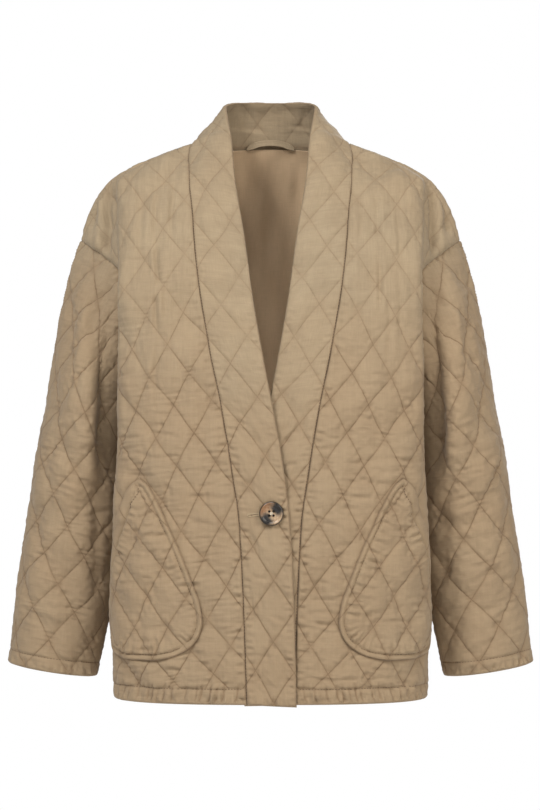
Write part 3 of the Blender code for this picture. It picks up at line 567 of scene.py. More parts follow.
ARM_LOOP_FRONT, ARM_LOOP_BACK = arm_loop(ARMHOLE_FRONT), arm_loop(ARMHOLE_BACK)
FRONT, BACK = body_surface(FRONT_PART, False), body_surface(BACK_PART, True)
SLEEVE = sleeve_surface()
BAND_SEAM_LINE = band_seam_line()
BAND_FREE = through(BAND_EDGE)
BAND = band_surface()


# Outlines in the flat, each a closed loop that runs anticlockwise from the hem ------------------

def stepped(line):
    """A line in equal steps, without its last point."""
    line = np.array(line, float)
    return evenly(line, max(1, round(lengths(line)[-1] / EDGE_STEP)))[:-1]


def outline(*lines):
    return join(*map(stepped, lines))


def body_edges(part):
    """The side seam, the armhole and the shoulder of half a body piece, from the hem up."""
    spans = ((HEM_Z, UNDERARM_Z, 60), (UNDERARM_Z, SHOULDER_TIP_Z, 80),
             (SHOULDER_TIP_Z, NECK_Z, 80))
    return [[(section_length(z, part), climb(z, part)) for z in np.linspace(*span)]
            for span in spans]


def front_outline():
    band = [(band_across(z), climb(z, FRONT_PART)) for z in np.linspace(NECK_Z, HEM_Z, 200)]
    side, arm, shoulder = body_edges(FRONT_PART)
    shoulder[-1] = band[0]
    return outline((band[-1], side[0]), side, arm, shoulder, band)


def back_outline():
    side, arm, shoulder = body_edges(BACK_PART)
    top = (0, climb(NECK_Z, BACK_PART))
    right = outline(side, arm, shoulder, (shoulder[-1], top))
    left = join(right, [top])[::-1] * (-1, 1)
    return join(outline((left[-1], right[0])), right, left[:-1])


def sleeve_outline():
    turns = np.linspace(1, -1, 160)
    top = np.interp(turns, SLEEVE.turns, SLEEVE.reach)
    crown = beside(turns * girth(top) / 2, top)
    side = np.linspace(0, top[0], 80)
    right = beside(girth(side) / 2, side)
    left = (right * (-1, 1))[::-1]
    return outline((left[-1], right[0]), right, crown, left)


def band_outline():
    corners = ((0, 0), (BAND.reach, 0), (BAND.reach, BAND_WIDTH), (0, BAND_WIDTH), (0, 0))
    return outline(*(corners[k:k + 2] for k in range(4)))


def pocket_outline():
    """A teardrop in the front's flat pattern."""
    up = np.linspace(0, POCKET_SHAPE["up"][-1], 200)
    edge = beside(read(POCKET_SHAPE, "half", up), up)
    edge = evenly(join([(0.0, 0.0)], edge), 110)
    centre = (across_at(POCKET_CENTRE_X, POCKET_BOTTOM_Z), climb(POCKET_BOTTOM_Z, FRONT_PART))
    return join(edge, edge[-2:0:-1] * (-1, 1)) + centre


# Quilt lattices: a and b count half diamonds along the two families of stitch lines -------------

def ripple(points, wavelength, seed):
    """Smooth seeded noise, about 1 high, over flat or solid places."""
    draw = np.random.default_rng(seed)
    total = np.zeros(len(points))
    for _ in range(WAVES):
        way = draw.normal(size=points.shape[1])
        way *= 2 * math.pi / (np.linalg.norm(way) * wavelength * draw.uniform(0.7, 1.5))
        total += np.sin(points @ way + draw.uniform(0, 2 * math.pi))
    return total / math.sqrt(WAVES / 2)


class Quilt:
    """The stitch lines of a panel in its flat pattern, sewn a little unevenly."""

    def __init__(self, place, half, seed, calm=0.0):
        self.place, self.half, self.seed, self.calm = place, half, seed, calm

    def flat(self, ab):
        spot = beside(*self.place((ab[:, 0] + ab[:, 1]) / 2, (ab[:, 0] - ab[:, 1]) / 2))
        wander = [WANDER * ripple(spot, WANDER_WAVE, self.seed + k) for k in range(2)]
        return spot + beside(*wander)

    def parts(self):
        return ((self, lambda flat: np.ones(len(flat), bool)),)

    def lattice(self, flat):
        """The way back, by a few steps of closing the gap."""
        ab = np.zeros_like(flat)
        for _ in range(12):
            gap = flat - self.flat(ab)
            i, j = gap[:, 0] / self.half[0], gap[:, 1] / self.half[1]
            ab = ab + 0.9 * beside(i + j, i - j)
        return ab


def front_quilt(seed):
    base = (across_at(FRONT_CROSSING_X, FRONT_CROSSING_Z), climb(FRONT_CROSSING_Z, FRONT_PART))

    def place(i, j):
        down = FRONT_TILT * FRONT_HALF[0] * i - FRONT_HALF[1] * j
        aside = base[0] + FRONT_HALF[0] * i - FRONT_LEAN * np.maximum(down, 0)
        return aside, base[1] - down + read(FRONT_ROWS, "shift", down)

    return Quilt(place, FRONT_HALF, seed, FRONT_CALM)


def even_quilt(origin, half, seed, lean=0.0, calm=0.0):
    def place(i, j):
        return origin[0] + half[0] * i + lean * half[1] * j, origin[1] + half[1] * j

    return Quilt(place, half, seed, calm)


def band_quilt(start, step, seed):
    def place(i, j):
        run = start + step * i
        near_hem = 1 - smoothstep(np.minimum(run, BAND.reach - run) / DRIFT_REACH)
        return run, BAND_CROSSING[0] + BAND_ACROSS * j - BAND_DRIFT * near_hem

    return Quilt(place, (step, BAND_ACROSS), seed)


class BandQuilt:
    """The band's lattice: the same up each side, and upright again round the back neck."""

    def __init__(self, seed):
        start, reach = BAND_CROSSING[1], BAND.reach - 2 * BAND_CROSSING[1]
        step = reach / (2 * round(reach / (2 * BAND_ALONG)))
        middle = BAND.reach / 2
        self.ends = (middle - NECK_REACH, middle + NECK_REACH)
        self.half, self.calm = (step, BAND_ACROSS), BAND_CALM
        self.sides = band_quilt(start, step, seed)
        self.neck = even_quilt((middle + NECK_CROSSING[0], NECK_CROSSING[1]), NECK_HALF, seed + 4)

    def round_neck(self, flat):
        return (flat[:, 0] > self.ends[0]) & (flat[:, 0] < self.ends[1])

    def parts(self):
        return ((self.sides, lambda flat: ~self.round_neck(flat)), (self.neck, self.round_neck))

    def lattice(self, flat):
        here = self.round_neck(flat)[:, None]
        return np.where(here, self.neck.lattice(flat), self.sides.lattice(flat))


# Filling an outline with points ------------------------------------------------------------------

def to_loop(points, loop):
    """Each point's distance to a closed outline, and how far round it the nearest place is."""
    count = len(loop)
    tree = KDTree(count)
    for k, (x, y) in enumerate(loop.tolist()):
        tree.insert((x, y, 0), k)
    tree.balance()
    nearest = np.array([tree.find((x, y, 0))[1] for x, y in points.tolist()], int)
    run = lengths(join(loop, loop[:1]))
    gap, place = np.full(len(points), np.inf), np.zeros(len(points))
    for first in ((nearest - 1) % count, nearest):
        start = loop[first]
        span = loop[(first + 1) % count] - start
        size = np.maximum(np.sum(span * span, axis=1), 1e-9)
        share = np.clip(np.sum((points - start) * span, axis=1) / size, 0, 1)
        away = np.linalg.norm(points - start - share[:, None] * span, axis=1)
        place = np.where(away < gap, run[first] + share * np.sqrt(size), place)
        gap = np.minimum(gap, away)
    return gap, place


def within(points, loop):
    """Which points lie inside a closed outline."""
    x0, y0 = loop.T
    x1, y1 = np.roll(loop, -1, axis=0).T
    slant = (x1 - x0) / np.where(y1 == y0, 1e-9, y1 - y0)
    marks = []
    for part in np.array_split(points, max(1, len(points) // 4000)):
        x, y = part[:, :1], part[:, 1:]
        crossed = ((y0 > y) != (y1 > y)) & (x < x0 + (y - y0) * slant)
        marks.append(np.sum(crossed, axis=1) % 2 == 1)
    return np.concatenate(marks)


def well_inside(points, loop, margin):
    """Which points lie inside a closed outline and further than a margin from it."""
    held = within(points, loop)
    held[held] = to_loop(points[held], loop)[0] > np.broadcast_to(margin, len(points))[held]
    return held


def rings(loop, offsets):
    """Rows of points inside an outline, where the cloth rolls over its edge or is sewn."""
    ahead = np.roll(loop, -1, axis=0) - np.roll(loop, 1, axis=0)
    inward = unit(beside(-ahead[:, 1], ahead[:, 0]))
    made = []
    for offset in offsets:
        offset = np.broadcast_to(offset, len(loop))
        moved = loop + inward * offset[:, None]
        made.append(moved[well_inside(moved, loop, offset * 0.9)])
    return np.concatenate(made)


def rows_across(loop, places, step, axis=1, stagger=0.0):
    """Straight rows of points across a piece, square to an axis, every other one staggered."""
    low, high = loop[:, 1 - axis].min(), loop[:, 1 - axis].max()
    rows = []
    for k, place in enumerate(places):
        ahead = np.arange(low + stagger * (k % 2), high, step)
        rows.append(beside(ahead, place) if axis else beside(place, ahead))
    rows = np.concatenate(rows)
    return rows[well_inside(rows, loop, EDGE_CLEAR)]


def stitch_grid(quilt, loop, shares):
    """Points on the quilt's own lines and between them, inside an outline."""
    low, high = loop.min(axis=0), loop.max(axis=0)
    corners = np.array([(x, y) for x in (low[0], high[0]) for y in (low[1], high[1])])
    corners = join(corners, loop[::9])
    found, found_ab = [], []
    for part, holds in quilt.parts():
        ab = part.lattice(corners)
        first = np.floor(ab.min(axis=0) / 2).astype(int) - 2
        last = np.ceil(ab.max(axis=0) / 2).astype(int) + 2
        lines = [np.concatenate([2 * (n + np.array(shares)) for n in range(first[k], last[k])])
                 for k in range(2)]
        a, b = np.meshgrid(*lines)
        ab = beside(a.ravel(), b.ravel())
        spots = part.flat(ab)
        close = np.all((spots > low) & (spots < high), axis=1) & holds(spots)
        found.append(spots[close])
        found_ab.append(ab[close])
    spots, ab = np.concatenate(found), np.concatenate(found_ab)
    held = well_inside(spots, loop, EDGE_CLEAR)
    return spots[held], ab[held]


def triangles(flat, rim):
    """Anticlockwise triangles between flat points, of which the first ones are the outline."""
    ring = [(k, (k + 1) % rim) for k in range(rim)]
    result = delaunay_2d_cdt([Vector(p) for p in flat], ring, [], 1, 1e-5)
    source = np.array([origin[0] for origin in result[3]])
    faces = source[np.array(result[2])]
    a, b, c = (flat[faces[:, k]] for k in range(3))
    turn = (b[:, 0] - a[:, 0]) * (c[:, 1] - a[:, 1]) - (b[:, 1] - a[:, 1]) * (c[:, 0] - a[:, 0])
    faces = faces[np.abs(turn) > 1e-6]
    turn = turn[np.abs(turn) > 1e-6]
    faces[turn < 0] = faces[turn < 0][:, ::-1]
    return faces


def filled(loop, quilt, shares, sewn=(), rim=None, hem=None):
    """A flat pattern as points, their lattice places and its triangles. Sewn lines have an axis
    that they lie square to and a place on it; a rim is a row of distances from the outline."""
    grid, grid_ab = stitch_grid(quilt, loop, shares)
    edge = [loop, rings(loop, EDGE_RINGS)]
    clear = np.ones(len(grid), bool)
    if hem:
        sewn = [*sewn, (1, hem)]
        edge.append(rows_across(loop, HEM_ROWS, HEM_STEP, stagger=HEM_STEP / 2))
        clear &= grid[:, 1] > hem
    for axis, place in sewn:
        edge.append(rows_across(loop, place + np.array(STITCH_ROWS), EDGE_STEP, axis))
        clear &= np.abs(grid[:, axis] - place) > STITCH_ROWS[-1] + STITCH_CLEAR
    if rim is not None:
        edge.append(rings(loop, [rim + offset for offset in STITCH_ROWS]))
        clear &= to_loop(grid, edge[-1])[0] > STITCH_CLEAR
    edge = np.concatenate(edge)
    flat = join(edge, grid[clear])
    return flat, join(quilt.lattice(edge), grid_ab[clear]), triangles(flat, len(loop))


# Creases and relief ------------------------------------------------------------------------------

def creased(at, rows):
    """How far creases push the cloth out, where each row is a trough with a ridge beside it."""
    push = np.zeros(len(at))
    for x, y, x_end, y_end, width, depth in rows:
        start, span = np.array((x, y)), np.array((x_end - x, y_end - y))
        size = np.linalg.norm(span)
        share = (at - start) @ span / size ** 2
        bow = CREASE_BOW * size * 4 * share * (1 - share)
        aside = (at - start) @ (np.array((-span[1], span[0])) / size) - bow
        fade = smoothstep(share / 0.3) * smoothstep((1 - share) / 0.3)
        ridge = 0.5 * bell(aside - 1.9 * width, 1.3 * width)
        push += depth * fade * (ridge - bell(aside, width))
    return push


def scattered(seed, count, across, up, length, width, depth, tilt=0.0):
    """Seeded creases over an area, most of them level."""
    draw = np.random.default_rng(seed)
    rows = []
    for _ in range(count):
        x, y = draw.uniform(*across), draw.uniform(*up)
        reach = draw.uniform(*length)
        lean = tilt + draw.normal() * 0.12
        rows.append((x, y, x + reach, y - reach * lean, draw.uniform(*width), draw.uniform(*depth)))
    return rows


def pillow(ab):
    """From 0 on a stitch line to 1 in a diamond's middle."""
    away = np.abs(ab - 2 * np.round(ab / 2)) * LINE_GAP / 2
    rise = 0.45 * (1 - np.exp(-away / 2.0)) + 0.55 * smoothstep(away / (0.85 * LINE_GAP / 2))
    return rise[:, 0] * rise[:, 1]


def level_wrinkles(flat, seed):
    """Long fine creases in patches, nearly level: soft ridges with thinner troughs."""
    place = beside(flat[:, 0] / 5, flat[:, 1] + 0.1 * flat[:, 0])
    ridge, trough = ripple(place, 8, seed), ripple(place, 11, seed + 1)
    patch = np.clip(0.45 + 0.6 * ripple(flat, 55, seed + 2), 0, 1.3)
    return patch * (0.5 * ridge - 0.9 * bell(trough, 0.65))


def tip_puckers(quilt, ab, seed):
    """Short level wrinkles above and below the crossings, where the cloth bunches."""
    place = beside((ab[:, 0] + ab[:, 1]) / 2, (ab[:, 0] - ab[:, 1]) / 2)
    near = np.round(place)
    x, y = ((place - near) * quilt.half).T
    strength = np.clip(0.55 + 0.6 * ripple(near * 10.0, 17, seed), 0.1, 1.5)
    wave = np.cos(2 * math.pi * (y + 0.8 * np.sin(x / 5)) / 4.6 + near[:, 0] * 1.7 + near[:, 1])
    fade = np.exp(-(x / 9) ** 2 - ((np.abs(y) - 5) / 6) ** 2)
    crossing = near.sum(axis=1) % 2 == 0
    return np.where(crossing, TIP_PUCKER * strength * wave * fade, 0.0)


def stitch_puckers(ab, seed):
    """Fine wrinkles square to the stitch lines, dying out a few millimetres away."""
    push = np.zeros(len(ab))
    for k in range(2):
        line = np.round(ab[:, k] / 2)
        away = np.abs(ab[:, k] - 2 * line) * LINE_GAP / 2
        place = beside(ab[:, 1 - k] * LINE_GAP / 2, line * 40)
        push += bell(away - 2.5, 3.5) * ripple(place, 9, seed + k)
    return STITCH_PUCKER * push


def groove(away, depth, width=1.5):
    return -depth * bell(away, width)


def gathers(across, seed):
    """Thin troughs at uneven steps along a hem, with a low ridge beside each."""
    draw = np.random.default_rng(seed)
    low, high = across.min(), across.max()
    steps = draw.uniform(0.45, 1.55, int((high - low) / GATHER_STEP) + 1)
    places = low + np.cumsum(steps) * GATHER_STEP
    depths = draw.uniform(0.4, 1.0, len(places))
    after = np.clip(np.searchsorted(places, across), 1, len(places) - 1)
    ridge, trough = np.zeros(len(across)), np.zeros(len(across))
    for near in (after - 1, after):
        away = across - places[near]
        ridge += 0.35 * depths[near] * bell(away + 2.6, 1.7)
        trough += depths[near] * bell(away, 1.05)
    return ridge, trough


def hem_relief(cut, hem, gathered, bent):
    """A turned hem: thicker below its stitch line, and puckered where it is gathered."""
    across, up = cut["flat"].T
    flatter = 1 - 0.8 * bent
    step = (0.9 * smoothstep((hem - up) / 2.5) + groove(up - hem, 2.0)) * flatter
    if not gathered:
        return step
    place = beside(across + 0.2 * up, 0.25 * up)
    rise = HEM_PUCKER * ripple(place, 11, cut["seed"] + 8) * bell(up - 0.75 * hem, 9)
    reach = smoothstep((up - 1) / 5) * smoothstep((hem + 9 - up) / 9)
    slanted = across + 0.3 * up + 1.2 * np.sin(up / 5)
    ridge, trough = gathers(slanted, cut["seed"] + 18)
    rise += GATHER_DEPTH * (ridge - trough) * reach
    # Painted shade in the gathers' troughs, added to the edge value.
    cut["edge"] = np.maximum(cut["edge"], 2.2 * trough * reach)
    return rise * flatter + step


def panel_relief(cut, hem=None, gathered=True):
    """The height of a quilted panel's outside over its inside."""
    flat, ab, gap, seed, lively = (cut[key] for key in ("flat", "ab", "gap", "seed", "lively"))
    bent = EVEN_OUT * smoothstep((0.72 - np.abs(cut["normals"][:, 1])) / 0.5)
    mound = pillow(ab) * (1 - bent) + 0.6 * bent
    if hem and gathered:
        cut["quilted"] = smoothstep((flat[:, 1] - hem) / 1.5)
        mound = 0.4 + (mound - 0.4) * cut["quilted"]
    rise = WALL + (CALM_PUFF + (PUFF - CALM_PUFF) * lively) * mound * cut["puffed"]
    puckers = tip_puckers(cut["quilt"], ab, seed) + stitch_puckers(ab, seed + 3)
    puckers += LEVEL_WRINKLE * level_wrinkles(flat, seed + 30)
    rise += puckers * cut["puffed"] * lively * (1 - bent)
    rise += 0.2 * ripple(flat, 13, seed + 5) + 0.1 * ripple(flat, 6.5, seed + 6)
    edge_wave = ripple(cut["run"][:, None], 9, seed + 7)
    rise += SEAM_PUCKER * lively * (1 - bent) * edge_wave * bell(gap - 5, 5)
    if hem:
        rise += hem_relief(cut, hem, gathered, bent)
    roll = np.sqrt(1 - (1 - np.clip(gap / EDGE_ROLL, 0, 1)) ** 2)
    return EDGE_WALL + np.maximum(rise - EDGE_WALL, 0.3) * roll


def laid(surface, loop, quilt, seed, flat, ab=None):
    """Flat places of a cut piece, with all that its folds and relief need."""
    gap, run = to_loop(flat, loop)
    points, normals = surface.at(flat)
    ab = quilt.lattice(flat) if ab is None else ab
    rough = smoothstep((quilt.calm - points[:, 2]) / CALM_FADE)
    return {"flat": flat, "ab": ab, "gap": gap, "run": run, "loop": loop, "points": points,
            "normals": normals, "quilt": quilt, "seed": seed, "puffed": np.ones(len(flat)),
            "height": pillow(ab), "lively": CALM_SHARE + (1 - CALM_SHARE) * rough,
            # The edge value paints shade along the outline, darkest right at it.
            "edge": np.exp(-gap / 1.3), "quilted": np.ones(len(flat))}


def panel(name, pattern, form, nodes, side=1, sewn=(), shares=SHARES,
          inner_shares=PLAIN_SHARES, rim=None, hem=None, finish=None):
    """A cut piece from its pattern: its surface, outline, quilt and seed. The form gives how far
    its inside and its outside stand out. Returns the way to its outside from the flat."""
    _, loop, quilt, _ = pattern
    flat, ab, faces = filled(loop, quilt, shares, sewn, rim, hem)
    cut = laid(*pattern, flat, ab)
    under, under_ab, under_faces = filled(loop, quilt, inner_shares)
    lined = laid(*pattern, under, under_ab)
    made = shell(name, (cut, faces, form(cut)[1]), (lined, under_faces, form(lined)[0]), side)
    finish_piece(made, finish or CLOTH, nodes)

    def outside(places):
        there = laid(*pattern, places)
        points = there["points"] + there["normals"] * form(there)[1][:, None]
        return points * (side, 1, 1), there["normals"] * (side, 1, 1)

    return outside


# Meshes ------------------------------------------------------------------------------------------

def placed(name, data):
    """A new object in the scene."""
    made = bpy.data.objects.new(name, data)
    bpy.context.scene.collection.objects.link(made)
    return made


def build_mesh(name, points, faces, maps=None, values=None):
    """A smooth closed mesh that faces out, in metres, with its maps and values by point."""
    a, b, c = (points[faces[:, k]] for k in range(3))
    faces = faces if np.sum(a * np.cross(b, c)) > 0 else faces[:, ::-1]
    mesh = bpy.data.meshes.new(name)
    mesh.from_pydata((points * MM).tolist(), [], faces.tolist())
    mesh.polygons.foreach_set("use_smooth", np.ones(len(mesh.polygons), bool))
    corners = np.empty(len(mesh.loops), np.int32)
    mesh.loops.foreach_get("vertex_index", corners)
    for key, value in (maps or {}).items():
        layer = mesh.uv_layers.new(name=key)
        layer.uv.foreach_set("vector", value[corners].astype(np.float32).ravel())
    for key, value in (values or {}).items():
        attribute = mesh.attributes.new(key, "FLOAT", "POINT")
        attribute.data.foreach_set("value", value.astype(np.float32))
    mesh.update()
    return placed(name, mesh)


def finish_piece(made, finish, nodes=()):
    made.data.materials.append(finish)
    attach(made, "root")
    if nodes:
        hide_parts(*nodes)


def edge_faces(rim, count):
    """Faces between the rims of two layers, of which the first has so many points."""
    after = np.roll(rim, -1)
    return join(beside(after, rim, rim + count), beside(after, rim + count, after + count))


def shell(name, outside, inside, side):
    """A closed thin wall from a cut piece: its outside, its inside and its rolled edge. Each
    layer is its flat places, their triangles and how far they stand out."""
    rim, count = len(outside[0]["loop"]), len(outside[0]["flat"])
    assert np.all(outside[2][:rim] > inside[2][:rim])
    faces = join(outside[1], inside[1][:, ::-1] + count, edge_faces(np.arange(rim), count))

    def joined(key):
        return join(outside[0][key], inside[0][key])

    points = joined("points") + joined("normals") * join(outside[2], inside[2])[:, None]
    return build_mesh(
        name, points * (side, 1, 1), faces, {"cloth": joined("flat") * MM, "quilt": joined("ab") / 2},
        {key: joined(key) for key in ("height", "edge", "lively", "quilted")})


# Sewing and small parts --------------------------------------------------------------------------

def tube_faces(count, around):
    """Faces round a row of rings, closed at both ends."""
    k = np.arange(around)
    n = (k + 1) % around
    faces = []
    for low in range(0, (count - 1) * around, around):
        high = low + around
        faces.append(beside(low + k, low + n, high + n))
        faces.append(beside(low + k, high + n, high + k))
    fan = beside(0, k[1:-1], k[2:])
    return join(*faces, fan[:, ::-1], fan + (count - 1) * around)


def strands(name, starts, ends, outs, radius, finish, arch=0.7):
    """Short lengths of thread, each a bowed spindle from one place to another."""
    share = np.array((0.0, 0.12, 0.35, 0.65, 0.88, 1.0))
    size = radius * np.array((0.35, 0.85, 1, 1, 0.85, 0.35))
    rise = radius * (arch - 1.3 * (2 * share - 1) ** 4)
    ahead = ends - starts
    aside = unit(np.cross(ahead, outs))
    over = unit(np.cross(aside, ahead))
    cosine, sine = turned(THREAD_SIDES)
    centre = starts[:, None] + ahead[:, None] * share[:, None] + outs[:, None] * rise[:, None]
    ring = aside[:, None] * cosine[:, None] + over[:, None] * sine[:, None]
    points = centre[:, :, None] + ring[:, None] * size[:, None, None]
    each = np.arange(len(starts)) * len(share) * THREAD_SIDES
    faces = each[:, None, None] + tube_faces(len(share), THREAD_SIDES)
    made = build_mesh(name, points.reshape(-1, 3), faces.reshape(-1, 3))
    finish_piece(made, finish)


def sew(name, outside, line, radius=STITCH_RADIUS):
    """A row of brown stitches along a flat line on the outside of a piece."""
    first = np.arange(STITCH_PITCH, lengths(line)[-1] - STITCH_PITCH, STITCH_PITCH)
    start, out = outside(along(line, first))
    end = outside(along(line, first + STITCH_LENGTH))[0]
    strands(name, start, end, out, radius, THREAD["brown"])


def sew_hem(name, outside, loop, hem):
    """The stitches of a turned hem, from side to side."""
    line = beside(np.linspace(loop[:, 0].min(), loop[:, 0].max(), HEM_POINTS), hem)
    sew(name, outside, line[well_inside(line, loop, 1.5)])


# The pieces --------------------------------------------------------------------------------------

def frontal(points):
    return points[:, (0, 2)]


def facing(cut):
    """1 where a piece faces the front or the back, and less where it is bent round to the side."""
    return 0.2 + 0.8 * smoothstep((np.abs(cut["normals"][:, 1]) - 0.2) / 0.45)


def soft(flat, seed):
    """Broad unevenness of the whole cloth."""
    return 1.1 * ripple(flat, 75, seed) + 0.5 * ripple(flat, 34, seed + 1)


def calm(gap):
    """Folds die out towards the seams, which neighbours share."""
    return smoothstep((gap - 1) / 14)


def front(side, word, creases, seed):
    loop, pocket_loop, quilt = front_outline(), pocket_outline(), front_quilt(40)
    pocket_quilt = even_quilt(POCKET_CROSSING, FRONT_HALF, 50, POCKET_LEAN)
    low = scattered(seed, 50, (30, 165), (-645, -330), (18, 50), (2.0, 3.2), (0.5, 1.5), 0.06)
    high = scattered(seed + 1, 12, (60, 160), (-380, -90), (16, 34), (2.5, 4.0), (0.3, 0.7), 0.1)

    def fold(cut):
        place = frontal(cut["points"])
        spread = (creased(place, low + high) + soft(cut["flat"], seed + 2)) * facing(cut)
        spread += creased(place, creases + SHOULDER_CREASES)
        return spread * calm(to_loop(cut["flat"], loop)[0])

    def form(cut):
        near, _ = to_loop(cut["flat"], pocket_loop)
        under = within(cut["flat"], pocket_loop)
        cut["puffed"] = np.where(under, 0.3, 1.0 - 0.6 * bell(near, 5))
        # Painted shadow in a thin line round the pocket's outline, added to the edge value.
        cut["edge"] = np.maximum(cut["edge"], 1.5 * bell(near, 1.6))
        inner = fold(cut)
        return inner, inner + panel_relief(cut, BODY_HEM)

    def pocket_form(cut):
        inner = fold(cut) + POCKET_SEAT
        return inner, inner + pocket_relief(cut)

    node = "front_" + word
    outside = panel("cloth_" + node, (FRONT, loop, quilt, seed), form, [node], side, hem=BODY_HEM)
    pocket = (FRONT, pocket_loop, pocket_quilt, seed + 20)
    rim = rim_width(pocket_loop, pocket_loop)
    patch = panel("cloth_pocket_" + word, pocket, pocket_form, ["pocket_" + word], side,
                  rim=rim)
    sew_hem("stitches_" + node, outside, loop, BODY_HEM)
    inset = rings(pocket_loop, [rim + 0.4])
    sew("stitches_pocket_" + word, patch, join(inset, inset[:1]), POCKET_STITCH)


def rim_width(flat, loop):
    """The pocket's turned edge: narrow all round, and broad along the mouth."""
    aside = flat[:, 0] - loop[:, 0].mean()
    up = flat[:, 1] - loop[:, 1].min()
    mouth = smoothstep(aside / 12) * smoothstep((up - 40) / 30)
    return POCKET_RIM + (POCKET_MOUTH - POCKET_RIM) * mouth


def pocket_relief(cut):
    gap, width = cut["gap"], rim_width(cut["flat"], cut["loop"])
    inside = gap - width
    bead = np.clip(1 - np.abs(1 - 2 * gap / width) ** 3, 0, 1) ** 0.5
    lip = WALL + 1.6 * bead * np.where(width > 10, 0.8, 1.0)
    wave = ripple(cut["run"][:, None], 8, cut["seed"] + 9)
    bunched = 0.9 * wave * bell(inside, 15) * facing(cut) ** 2
    middle = panel_relief(cut) * smoothstep(inside / 5 + 0.35) + bunched * smoothstep(inside / 3)
    rise = np.where(gap < width, np.minimum(lip, 0.5 + 4 * gap), np.maximum(middle, 0.9))
    return rise + groove(inside, 1.3, 1.3)


def back(seed):
    loop = back_outline()
    quilt = even_quilt((0, climb(FRONT_CROSSING_Z, BACK_PART)), BACK_HALF, 60, calm=BACK_CALM)
    rows = scattered(seed, 40, (-160, 130), (-640, -330), (18, 50), (2.4, 3.6), (0.3, 0.9))

    def form(cut):
        spread = creased(frontal(cut["points"]), rows) + soft(cut["flat"], seed + 2)
        inner = spread * facing(cut) * calm(cut["gap"])
        return inner, inner + panel_relief(cut, BODY_HEM)

    outside = panel("cloth_back", (BACK, loop, quilt, seed), form, ["back"],
                    hem=BODY_HEM, shares=COARSE_SHARES)
    sew_hem("stitches_back", outside, loop, BODY_HEM)


def back_lining(seed):
    """The plain lining inside the back, up to the neck seam."""
    whole = back_outline()
    centre = whole.mean(axis=0)
    reach = np.max(np.abs(whole - centre), axis=0)
    loop = centre + (whole - centre) * (1 - LINING_MARGIN / reach)
    neck = whole[:, 1].max()
    loop[:, 1] += (neck - NECK_MARGIN - loop[:, 1].max()) * smoothstep(loop[:, 1] / neck)
    quilt = even_quilt((0, 0), BACK_HALF, 70)

    def form(cut):
        spread = creased(frontal(cut["points"]), LINING_FOLDS) + 0.4 * ripple(cut["flat"], 60, seed)
        outer = spread * smoothstep((cut["gap"] - 1) / 6) - LINING_GAP
        return outer - LINING_WALL, outer

    panel("cloth_back_lining", (BACK, loop, quilt, seed), form, ["back_lining"],
          shares=PLAIN_SHARES, finish=LINING)


def sleeve(side, word, seed):
    loop = sleeve_outline()
    crossing, half, lean = SLEEVE_LATTICE[word]
    quilt = even_quilt(crossing, half, 80, lean, SLEEVE_CALM)
    rows = scattered(seed, 60, (-170, 150), (24, 330), (25, 90), (3, 4.5), (0.5, 1.5), 0.04)

    def form(cut):
        spread = (creased(cut["flat"], rows) + soft(cut["flat"], seed + 2)) * facing(cut)
        ahead = smoothstep(0.5 - 1.5 * cut["normals"][:, 1])
        spread += creased(frontal(cut["points"]), SLEEVE_CREASES) * ahead
        inner = spread * calm(cut["gap"])
        return inner, inner + panel_relief(cut, CUFF_HEM, gathered=False)

    node = "sleeve_" + word
    outside = panel("cloth_" + node, (SLEEVE, loop, quilt, seed), form, [node], side, hem=CUFF_HEM)
    sew_hem("stitches_" + node, outside, loop, CUFF_HEM)


def band(seed):
    loop, quilt = band_outline(), BandQuilt(90)
    middle = BAND.reach / 2
    rows = [(middle + x, y, middle + x_end, y_end, width, depth)
            for x, y, x_end, y_end, width, depth in NECK_CREASES]
    rows += [(x if side else BAND.reach - x, y, x_end if side else BAND.reach - x_end, y_end,
              width, depth) for side, x, y, x_end, y_end, width, depth in BAND_CREASES]

    def form(cut):
        spread = (0.6 * soft(cut["flat"], seed + 2) + creased(cut["flat"], rows)) * calm(cut["gap"])
        joins = sum(groove(cut["flat"][:, 0] - end, 1.6) for end in quilt.ends)
        hollow = BAND_INNER_PUFF * pillow(cut["ab"]) * smoothstep(cut["gap"] / 5)
        return spread - hollow, spread + np.maximum(panel_relief(cut) + joins, EDGE_WALL)

    outside = panel("cloth_band", (BAND, loop, quilt, seed), form, ["band"],
                    sewn=[(0, end) for end in quilt.ends], inner_shares=COARSE_SHARES)
    ditch = beside(np.linspace(0, BAND.reach, DITCH_POINTS), DITCH)
    sew("stitches_band", outside, ditch, BAND_STITCH)
    return outside


def hanger_loop():
    """A flat tape sewn into the neck seam at both ends, where it narrows."""
    line = through(LOOP_LINE, LOOP_POINTS)
    ahead = unit(np.gradient(line, axis=0))
    deep = unit(np.cross((0, 0, 1), ahead))
    up = np.cross(ahead, deep)
    cosine, sine = turned(LOOP_SIDES)
    wide = LOOP_WIDTH / 2 * np.sign(cosine) * np.abs(cosine) ** 0.3
    thick = LOOP_DEPTH / 2 * np.sign(sine) * np.abs(sine) ** 0.5
    thick *= 1 - 0.3 * bell(np.abs(wide) - 2.2, 0.5)
    ends = smoothstep((np.abs(np.linspace(-1, 1, LOOP_POINTS)) - 0.75) / 0.25)
    narrow = 1 - 0.5 * ends
    points = (line[:, None] + up[:, None] * (narrow[:, None] * wide)[:, :, None]
              + deep[:, None] * thick[:, None])
    flat = beside(lengths(line)[:, None], wide).reshape(-1, 2)
    made = build_mesh("hanger_loop_tape", points.reshape(-1, 3),
                      tube_faces(LOOP_POINTS, LOOP_SIDES),
                      {"cloth": flat * MM, "quilt": flat * 0 + 0.5},
                      {"height": np.ones(len(flat)), "edge": np.zeros(len(flat))})
    finish_piece(made, CLOTH, ["hanger_loop"])


